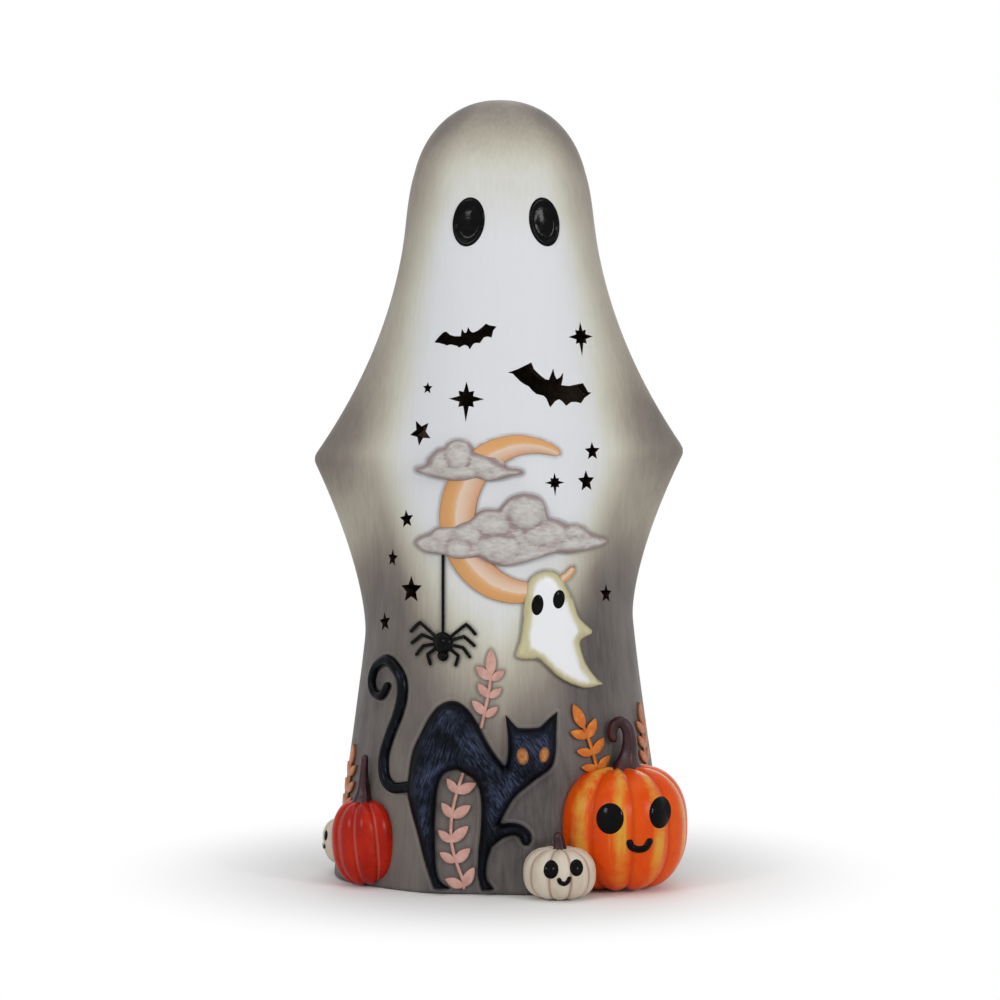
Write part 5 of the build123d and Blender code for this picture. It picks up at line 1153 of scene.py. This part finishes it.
STEMS = {
    "large_pumpkin": (
        (2.2, -3.4, 5.8), (2.3, -0.6, 5.0), (2.5, 2.0, 3.5), (2.9, 4.8, 2.6), (3.1, 8.2, 2.2),
        (2.5, 11.7, 1.9), (0.8, 13.8, 1.8), (-1.3, 13.2, 1.7), (-2.2, 10.8, 1.6), (-1.8, 9.0, 1.35),
    ),
    "white_pumpkin": ((0, -1.4, 2.4), (0, 1.6, 1.7), (-0.4, 3.6, 1.5)),
    "red_pumpkin": (
        (-0.9, -2.4, 4.2), (-0.8, 0.2, 3.3), (-0.3, 3.4, 2.0), (0.3, 8.4, 1.35), (1.0, 13.2, 1.1),
    ),
    "side_pumpkin": ((0.0, -1.4, 1.8), (0.1, 1.0, 1.3), (0.4, 2.5, 1.1)),
}
STROKE_RIB, STEM_SIDES, STEM_FLUTES, FLUTE_DEPTH = 0.68, 24, 5, 0.05

core_turns = np.linspace(0, 2 * pi, CORE_SIDES, endpoint=False)
core_rings = [circle(0.0, CORE_FOOT, core_turns), drape(core_turns, 0.0, -SEAT_DEPTH) + (0, 0, CORE_FOOT)]
core_rings += [drape(core_turns, height, -SEAT_DEPTH) for height in np.linspace(0, CORE_TOP, CORE_STEPS)]
core_rings.append(circle(0.0, CORE_TOP, core_turns))
body_core = loft("body_core", core_rings)


def pumpkin_seat(azimuth, height, proud, lean):
    """A pumpkin's centre and its sideways, inward and upward axes."""
    centre = drape(radians(azimuth - 90), height * MM, proud * MM)
    tilt = radians(lean)
    return centre, np.array(((cos(tilt), 0, -sin(tilt)), (0, 1, 0), (sin(tilt), 0, cos(tilt))))


def seat_on_body(piece):
    """Cuts a piece to the body and to the ground that the figure stands on."""
    apply(piece, "BOOLEAN", operation="DIFFERENCE", object=body_core, solver="EXACT")
    ground = {"plane_co": (0, 0, 0), "plane_no": (0, 0, -1), **CLEAN_CUT}
    edit(piece, (bpy.ops.mesh.bisect, ground))


def pumpkin(name):
    """A ribbed pumpkin in its seat, with its grooves and strokes kept for the paint."""
    azimuth, height, proud, half_width, half_height, lean, groove_depth, turn = PUMPKINS[name]
    centre, axes = pumpkin_seat(azimuth, height, proud, lean)
    around = np.linspace(0, 2 * pi, PUMPKIN_TURNS, endpoint=False)
    groove = 1 - np.abs(np.cos(PUMPKIN_RIBS * (around - radians(turn)) / 2)) ** GROOVE_CURVE
    rings = []
    for level in np.sin(np.linspace(-pi / 2, pi / 2, PUMPKIN_RINGS)):
        girth = max(0.0, 1 - abs(level) ** PUMPKIN_FULLNESS) ** (1 / PUMPKIN_FULLNESS)
        depth = groove_depth * (1 + GROOVE_DEEPENING * abs(level) ** 3)
        radius = half_width * girth * (1 - depth * groove)
        sunk = PUMPKIN_DIMPLE * np.exp(-((girth / DIMPLE_GIRTH) ** 2))
        sunk = sunk + CROWN_GROOVE * groove * (1 - girth) * (girth > POLE_GIRTH)
        heights = half_height * (level - np.sign(level) * sunk)
        rings.append(np.stack((radius * np.cos(around), radius * np.sin(around), heights), axis=1))
    piece = loft(name + "_fruit", [centre + ring @ axes * MM for ring in rings])
    seat_on_body(piece)
    local = (points_of(piece) - centre) @ axes.T
    angle = np.arctan2(local[:, 1], local[:, 0]) - radians(turn)
    rib = (PUMPKIN_RIBS * angle / (2 * pi) + 0.5) % 1.0
    store(piece, "to_groove", np.minimum(rib, 1 - rib))
    store(piece, "to_stroke", np.abs((rib - STROKE_RIB + 0.5) % 1.0 - 0.5))
    store(piece, "level", local[:, 2] / (half_height * MM))
    return piece


def pumpkin_paint(name, base, deep, stroke, stroke_share, groove_colour, groove_share, groove_width):
    """Pumpkin paint: brushed strokes down one side of each rib, and a colour in the grooves."""
    finish = Finish(name, roughness=0.26, gloss=0.16)
    bristles = finish.noise(620, stretch=(1, 1, 0.09))
    patches = finish.noise(110, detail=3)
    colour = finish.mix(finish.band(patches, 0.3, 0.7), base, deep)
    reach = finish.plus(finish.attribute("to_stroke"), finish.band(bristles, 0.28, 0.72, -0.07, 0.07))
    loaded = finish.band(patches, 0.35, 0.6, 0.45, 1.0)
    streak = finish.times(finish.band(reach, 0.27, 0.02), loaded)
    streak = finish.times(streak, finish.band(finish.attribute("level"), -0.95, -0.1, 0.3, 1.0))
    colour = finish.mix(finish.times(streak, stroke_share), colour, stroke)
    groove_tint_and_shade = finish.band(finish.attribute("to_groove"), 0.01, groove_width, groove_share, 0.0)
    finish.paint(finish.mix(groove_tint_and_shade, colour, groove_colour))
    finish.uneven(bristles, 0.0003, strength=0.2, roughness=finish.band(patches, 0.2, 0.8, 0.22, 0.36))
    return finish


# The orange pumpkin's darker groove colour is painted shade; the white and red ones' groove colours are
# painted lines.
orange_skin = pumpkin_paint("orange_pumpkin", "df4600", "e35607", "dca33c", 0.92, "b83802", 0.55, 0.09)
white_skin = pumpkin_paint("white_pumpkin", "d9cfbd", "cfc0ac", "e0d9cc", 0.5, "aa8880", 0.8, 0.12)
red_skin = pumpkin_paint("red_pumpkin", "a01304", "b81f06", "cc3a16", 0.35, "c98070", 0.4, 0.09)
stem_paint = Finish("stem_brown", roughness=0.36)
stem_grain = stem_paint.noise(420, stretch=(1, 1, 0.3))
stem_paint.paint(stem_paint.ramp(stem_grain, ((0.3, "1f0d11"), (0.5, "32161b"), (0.74, "552a2d"))))
stem_paint.uneven(stem_grain, 0.0004, strength=0.3)
SKINS = {
    "large_pumpkin": (orange_skin, "orange_pumpkin"),
    "white_pumpkin": (white_skin, "white_pumpkin"),
    "red_pumpkin": (red_skin, "red_pumpkin"),
    "side_pumpkin": (white_skin, "white_pumpkin"),
}
fruits, stems = {}, []
for name, (finish, slot) in SKINS.items():
    fruits[name] = pumpkin(name)
    fix(fruits[name], finish, slot, name, angle=50)
    azimuth, height, proud, _, half_height, lean, _, _ = PUMPKINS[name]
    path = curve_through([(x, 0, z) for x, z, _ in STEMS[name]], 6)
    radii = curve_through([(radius,) for _, _, radius in STEMS[name]], 6)[:, 0]
    stem = rod(name + "_stem_roll", path, radii, STEM_SIDES, STEM_FLUTES, FLUTE_DEPTH)
    centre, axes = pumpkin_seat(azimuth, height, proud, lean)
    crown = centre + axes[2] * half_height * (1 - PUMPKIN_DIMPLE) * MM
    set_points(stem, crown + points_of(stem) @ axes)
    seat_on_body(stem)
    fix(stem, stem_paint, "stem_brown", name + "_stem", angle=50)
    stems.append(stem)
bpy.data.objects.remove(body_core, do_unlink=True)


# Pumpkin faces: two domed black eyes and a thick smile, trailed on in enamel once the pumpkins were
# painted. The red pumpkin has none.
FACES = {
    "large_pumpkin": (
        0, ((33.0, 24.2, 4.1, 4.6, 10), (48.2, 25.4, 3.4, 4.6, 0)),
        ((38.9, 16.9), (39.6, 15.5), (41.6, 14.8), (43.7, 15.3), (44.9, 17.1)), 1.1,
    ),
    "white_pumpkin": (
        0, ((15.2, 10.2, 2.2, 2.7, 14), (22.8, 10.6, 2.0, 2.4, -8)),
        ((17.6, 7.3), (18.0, 6.5), (19.1, 6.1), (20.1, 6.6), (20.6, 7.6)), 0.72,
    ),
    "side_pumpkin": (
        -80, ((-9.6, 12.2, 1.3, 1.6, 8), (-4.0, 12.2, 1.3, 1.6, -8)),
        ((-8.2, 9.0), (-7.6, 8.2), (-6.8, 7.9), (-6.0, 8.2), (-5.4, 9.0)), 0.45,
    ),
}
FACE_RISE, SMILE_SINK = 0.35, 0.15
for name, (azimuth, eyes, smile, thickness) in FACES.items():
    parts = [dab("pumpkin_eye", *eye, FACE_RISE, lean) for *eye, lean in eyes]
    parts.append(rod("smile", curve_through([(x, SMILE_SINK, z) for x, z in smile], 6), thickness))
    face = join(parts)
    face.name = name + "_face_enamel"
    lay_on_piece(face, fruits[name], azimuth)
    fix(face, enamel, "black_gloss", name + "_face")


# Spray and painted shade: soot was sprayed over the hem, the arms, the sides and the crown, and it is
# darker again towards the very bottom. Where left and right differ, and at the sides by the waist, the
# spray is painted light and shade. A dark band of painted shade lies beside the ornaments, and a pale line
# is painted round the cat and its tail. The hollow and the foot are bare clay.
LEFT_HEM_SPRAY = ((0.0, 0.3, 0.55, 0.72, 0.85, 1.0), (0.062, 0.073, 0.092, 0.110, 0.105, 0.098))
RIGHT_HEM_SPRAY = ((0.0, 0.3, 0.55, 0.72, 0.85, 1.0), (0.062, 0.073, 0.092, 0.112, 0.110, 0.102))
HEM_SPRAY_FADE = ((0.6, 0.85, 1.0), (0.035, 0.022, 0.019))
# Left and right soot tables differ as painted light and shade, and so do the edge and arm soot pairs.
LEFT_HEM_SOOT_AND_SHADE = ((0.0, 0.25, 0.50, 0.70, 0.85), (0.89, 0.88, 0.79, 0.79, 0.91))
RIGHT_HEM_SOOT_AND_SHADE = ((0.0, 0.35, 0.60), (0.89, 0.92, 0.89))
EDGE_SPRAY = ((0.110, 0.130, 0.150, 0.180, 0.206), (0.40, 0.38, 0.45, 0.52, 0.46))
EDGE_SPRAY_FADE, EDGE_SPRAY_FEET = 0.60, ((0.080, 0.095), (0.100, 0.130))
CROWN_SPRAY, FACE_SPRAY, FOOT_SPRAY = (0.214, 0.2405), (0.195, 0.215), (0.022, 0.0)
ARM_SPRAY, ARM_SPRAY_HEIGHT, ARM_SPRAY_SPREAD = (0.50, 0.92), 0.138, 0.016
EDGE_SOOT_AND_SHADE, ARM_SOOT_AND_SHADE = (0.65, 0.59), (0.42, 0.50)
CROWN_SOOT, FACE_SOOT, FOOT_DARKENING = 0.62, 0.16, 0.46


def soft_step(low, high, value):
    """A share that rises softly from 0 at low to 1 at high."""
    share = np.clip((value - low) / (high - low), 0, 1)
    return share * share * (3 - 2 * share)


def body_shade(points):
    """How dark the body is painted, airbrush and painted shade together: 0 is white, 1 is soot."""
    x, height = points[:, 0], points[:, 2]
    half_width = np.abs(drape(0.0, np.clip(height, 0, GHOST_HEIGHT))[:, 0])
    aside = np.clip(np.abs(x) / np.maximum(half_width, 1e-4), 0, 1)

    def by_side(left, right):
        return np.where(x < 0, left, right)

    start = np.interp(height, *EDGE_SPRAY)
    feet = sum(soft_step(*foot, height) for foot in EDGE_SPRAY_FEET)
    edge = soft_step(start, start + EDGE_SPRAY_FADE, aside) * feet / len(EDGE_SPRAY_FEET)
    middle = by_side(np.interp(aside, *LEFT_HEM_SPRAY), np.interp(aside, *RIGHT_HEM_SPRAY))
    fade = np.interp(aside, *HEM_SPRAY_FADE)
    hem_soot_and_shade = by_side(np.interp(aside, *LEFT_HEM_SOOT_AND_SHADE), np.interp(aside, *RIGHT_HEM_SOOT_AND_SHADE))
    arms = np.exp(-(((height - ARM_SPRAY_HEIGHT) / ARM_SPRAY_SPREAD) ** 2)) * soft_step(*ARM_SPRAY, aside)
    layers = (
        edge * by_side(*EDGE_SOOT_AND_SHADE),
        CROWN_SOOT * soft_step(*CROWN_SPRAY, height),
        FACE_SOOT * soft_step(*FACE_SPRAY, height),
        hem_soot_and_shade * soft_step(middle + fade, middle - fade, height),
        arms * by_side(*ARM_SOOT_AND_SHADE),
        FOOT_DARKENING * soft_step(*FOOT_SPRAY, height),
    )
    bare = np.ones_like(x)
    for layer in layers:
        bare = bare * (1 - layer)
    return 1 - bare


def from_pieces(points, pieces):
    """Distance of points from the nearest point of some pieces."""
    corners = np.vstack([points_of(piece) for piece in pieces])
    tree = KDTree(len(corners))
    for number, corner in enumerate(corners):
        tree.insert(corner, number)
    tree.balance()
    return np.array([tree.find(point)[2] for point in points])


skin_points = points_of(ghost)
store(ghost, "shade", body_shade(skin_points))
ornaments = [moon, upper_cloud, lower_cloud, small_ghost, spider, thread, *sprigs, *fruits.values(), *stems]
store(ghost, "to_ornament", from_pieces(skin_points, ornaments))
store(ghost, "to_cat", from_pieces(skin_points, [cat, cat_tail]))
# Painted shade: a dark band on the body beside each ornament, where they meet.
painted_shade_by_ornaments = glaze.band(glaze.attribute("to_ornament"), 0.0003, 0.0013, 0.38, 0.0)
body_colour = glaze.mix(painted_shade_by_ornaments, body_colour, "5f5752")
# A pale line is painted on the body round the cat and its tail.
from_cat = glaze.attribute("to_cat")
outer_side = glaze.band(from_cat, 0.0014, 0.0008)
pale_line = glaze.times(glaze.band(from_cat, 0.0004, 0.0007), outer_side)
body_colour = glaze.mix(glaze.times(pale_line, 0.16), body_colour, "b5aea6")
glaze.paint(body_colour)
pits = glaze.plus(strokes, glaze.times(glaze.noise(2600, detail=2), 0.5))
glaze.uneven(pits, 0.0001, strength=0.3, roughness=glaze.band(clouding, 0.2, 0.8, 0.48, 0.64))

bare_clay = Finish("bare_clay", roughness=0.85, gloss=0.2)
clay_grain = bare_clay.noise(900, detail=5)
bare_clay.paint(bare_clay.ramp(clay_grain, ((0.3, "7d6a5a"), (0.6, "96826f"), (0.8, "a8957f"))))
bare_clay.uneven(clay_grain, 0.0003, strength=0.4)
ghost.data.materials.append(bare_clay.material)
bare_slot = len(ghost.data.materials) - 1
centres = rows_of(ghost.data.polygons, "center", 3).astype(float)
skin_here = drape(np.arctan2(centres[:, 1], centres[:, 0]), np.clip(centres[:, 2], 0, GHOST_HEIGHT))
depth = np.hypot(skin_here[:, 0], skin_here[:, 1]) - np.hypot(centres[:, 0], centres[:, 1])
within = (depth > SHELL / 2) & (centres[:, 2] < GHOST_HEIGHT - SHELL / 2)
slots = rows_of(ghost.data.polygons, "material_index", 1, np.int32)[:, 0]
slots[within & (slots == 0)] = bare_slot
ghost.data.polygons.foreach_set("material_index", slots)
smooth(ghost)


# Light unit: a white plastic puck with a silicone ring that grips the base hole. Two cells, a small board,
# a warm lamp under a frosted dome and a slide switch are fitted in it, and a screwed door closes the bay.
CELL_COLLAR, CELL_SHOULDER, CELL_FOOT, SLEEVE_EDGE = 0.0130, 0.0207, -0.0219, 0.0002


def moulded(name, colour, dusk, roughness=0.5, gloss=0.4, grain=5000):
    """Moulded plastic or rubber: a fine spark texture and faint flow marks."""
    finish = Finish(name, roughness=roughness, gloss=gloss)
    spark = finish.noise(grain, detail=2)
    flow = finish.noise(120, detail=3)
    finish.paint(finish.mix(finish.band(flow, 0.3, 0.7), colour, dusk))
    dulled = finish.band(spark, 0.3, 0.7, roughness - 0.06, roughness + 0.08)
    finish.uneven(spark, 0.00005, strength=0.3, roughness=dulled)
    return finish


def plated(name, colour, shadow, stretch, roughness=0.3):
    """Plated metal with fine drawn lines."""
    finish = Finish(name, roughness=roughness, gloss=0.5, metallic=1.0)
    lines = finish.noise(2600, stretch=stretch, detail=3)
    finish.paint(finish.mix(finish.band(lines, 0.3, 0.7), colour, shadow))
    dulled = finish.band(lines, 0.3, 0.7, roughness - 0.08, roughness + 0.1)
    finish.uneven(lines, 0.00002, strength=0.4, roughness=dulled)
    return finish


housing_plastic = moulded("moulded_housing", "d9d8d2", "cdcbc3")
grip_silicone = moulded("milky_silicone", "c8c8c4", "bcbcb7", roughness=0.62, gloss=0.3, grain=2400)
grip_silicone.shader.inputs["Subsurface Weight"].default_value = 0.25
grip_silicone.shader.inputs["Subsurface Scale"].default_value = 0.002
switch_black = moulded("moulded_switch", "121213", "1d1d1f", roughness=0.42)
chip_black = moulded("chip_body", "0e0e0f", "1c1c1e", roughness=0.38, grain=7000)
wire_jacket = moulded("wire_jacket", "8f1512", "7a100f", roughness=0.4, grain=1800)
contact_plating = plated("contact_plating", "c6c2b8", "9d998f", (1, 1, 0.08))
screw_plating = plated("screw_plating", "b3b4b8", "8a8b90", (0.1, 1, 1), roughness=0.34)

cell_sleeve = Finish("cell_sleeve", roughness=0.3, gloss=0.5, metallic=0.35)
cell_place = cell_sleeve.node("SeparateXYZ", {0: cell_sleeve.place}).outputs
cell_way = cell_sleeve.math("SIGN", cell_place["Y"])
along_cell = cell_sleeve.times(cell_place["X"], cell_way)
scuffs = cell_sleeve.noise(700, stretch=(0.15, 1, 1))
sleeve = cell_sleeve.mix(cell_sleeve.band(scuffs, 0.45, 0.75, 0.0, 0.5), "22406c", "3a5a88")
sleeve_bands = ((CELL_COLLAR, 1, "b98e3e"), (CELL_SHOULDER, 1, "b9b7b0"), (CELL_FOOT, -1, "b9b7b0"))
for start, way, colour in sleeve_bands:
    sleeve = cell_sleeve.mix(cell_sleeve.band(along_cell, start, start + way * SLEEVE_EDGE), sleeve, colour)
cell_sleeve.paint(sleeve)
cell_sleeve.uneven(scuffs, 0.00003, strength=0.3)

solder_mask = Finish("solder_mask", roughness=0.35, gloss=0.45)
glass_weave = solder_mask.noise(2200, stretch=(1, 0.2, 1), detail=2)
track_inputs = {"Vector": solder_mask.place, "Scale": 160, "Distortion": 3.0}
tracks = solder_mask.node("TexWave", track_inputs).outputs["Fac"]
mask_colour = solder_mask.mix(solder_mask.band(glass_weave, 0.3, 0.7), "0d4a26", "125a30")
solder_mask.paint(solder_mask.mix(solder_mask.band(tracks, 0.78, 0.86, 0.0, 0.7), mask_colour, "2c8049"))
solder_mask.uneven(tracks, 0.00005, strength=0.3)

lamp_epoxy = Finish("lamp_epoxy", roughness=0.08, gloss=0.5)
lamp_epoxy.shader.inputs["Transmission Weight"].default_value = 0.6
lamp_swirl = lamp_epoxy.noise(600, detail=2)
lamp_epoxy.paint(lamp_epoxy.mix(lamp_epoxy.band(lamp_swirl, 0.3, 0.7), "f6e3a6", "fbeec8"))
lamp_epoxy.uneven(lamp_swirl, 0.00003, strength=0.2)

dome_frost = Finish("dome_frost", roughness=0.55, gloss=0.4)
dome_frost.shader.inputs["Transmission Weight"].default_value = 0.35
frost = dome_frost.noise(3200, detail=3)
dome_frost.paint(dome_frost.mix(dome_frost.band(frost, 0.3, 0.7), "ebe9e3", "dedbd3"))
dome_frost.uneven(frost, 0.00005, strength=0.35)

LIGHT_UNIT = (
    (housing_plastic, ("light_housing", "housing_cover", "battery_door")),
    (grip_silicone, ("grip_ring",)),
    (cell_sleeve, ("batteries",)),
    (contact_plating, ("battery_contacts",)),
    (screw_plating, ("board_screws", "door_screw")),
    (solder_mask, ("circuit_board",)),
    (chip_black, ("resistor",)),
    (lamp_epoxy, ("led_lamp",)),
    (dome_frost, ("light_diffuser",)),
    (switch_black, ("switch_body", "switch_slider")),
    (wire_jacket, ("lead_wires",)),
)
for finish, names in LIGHT_UNIT:
    for name in names:
        for material_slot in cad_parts[name].material_slots:
            material_slot.material = finish.material
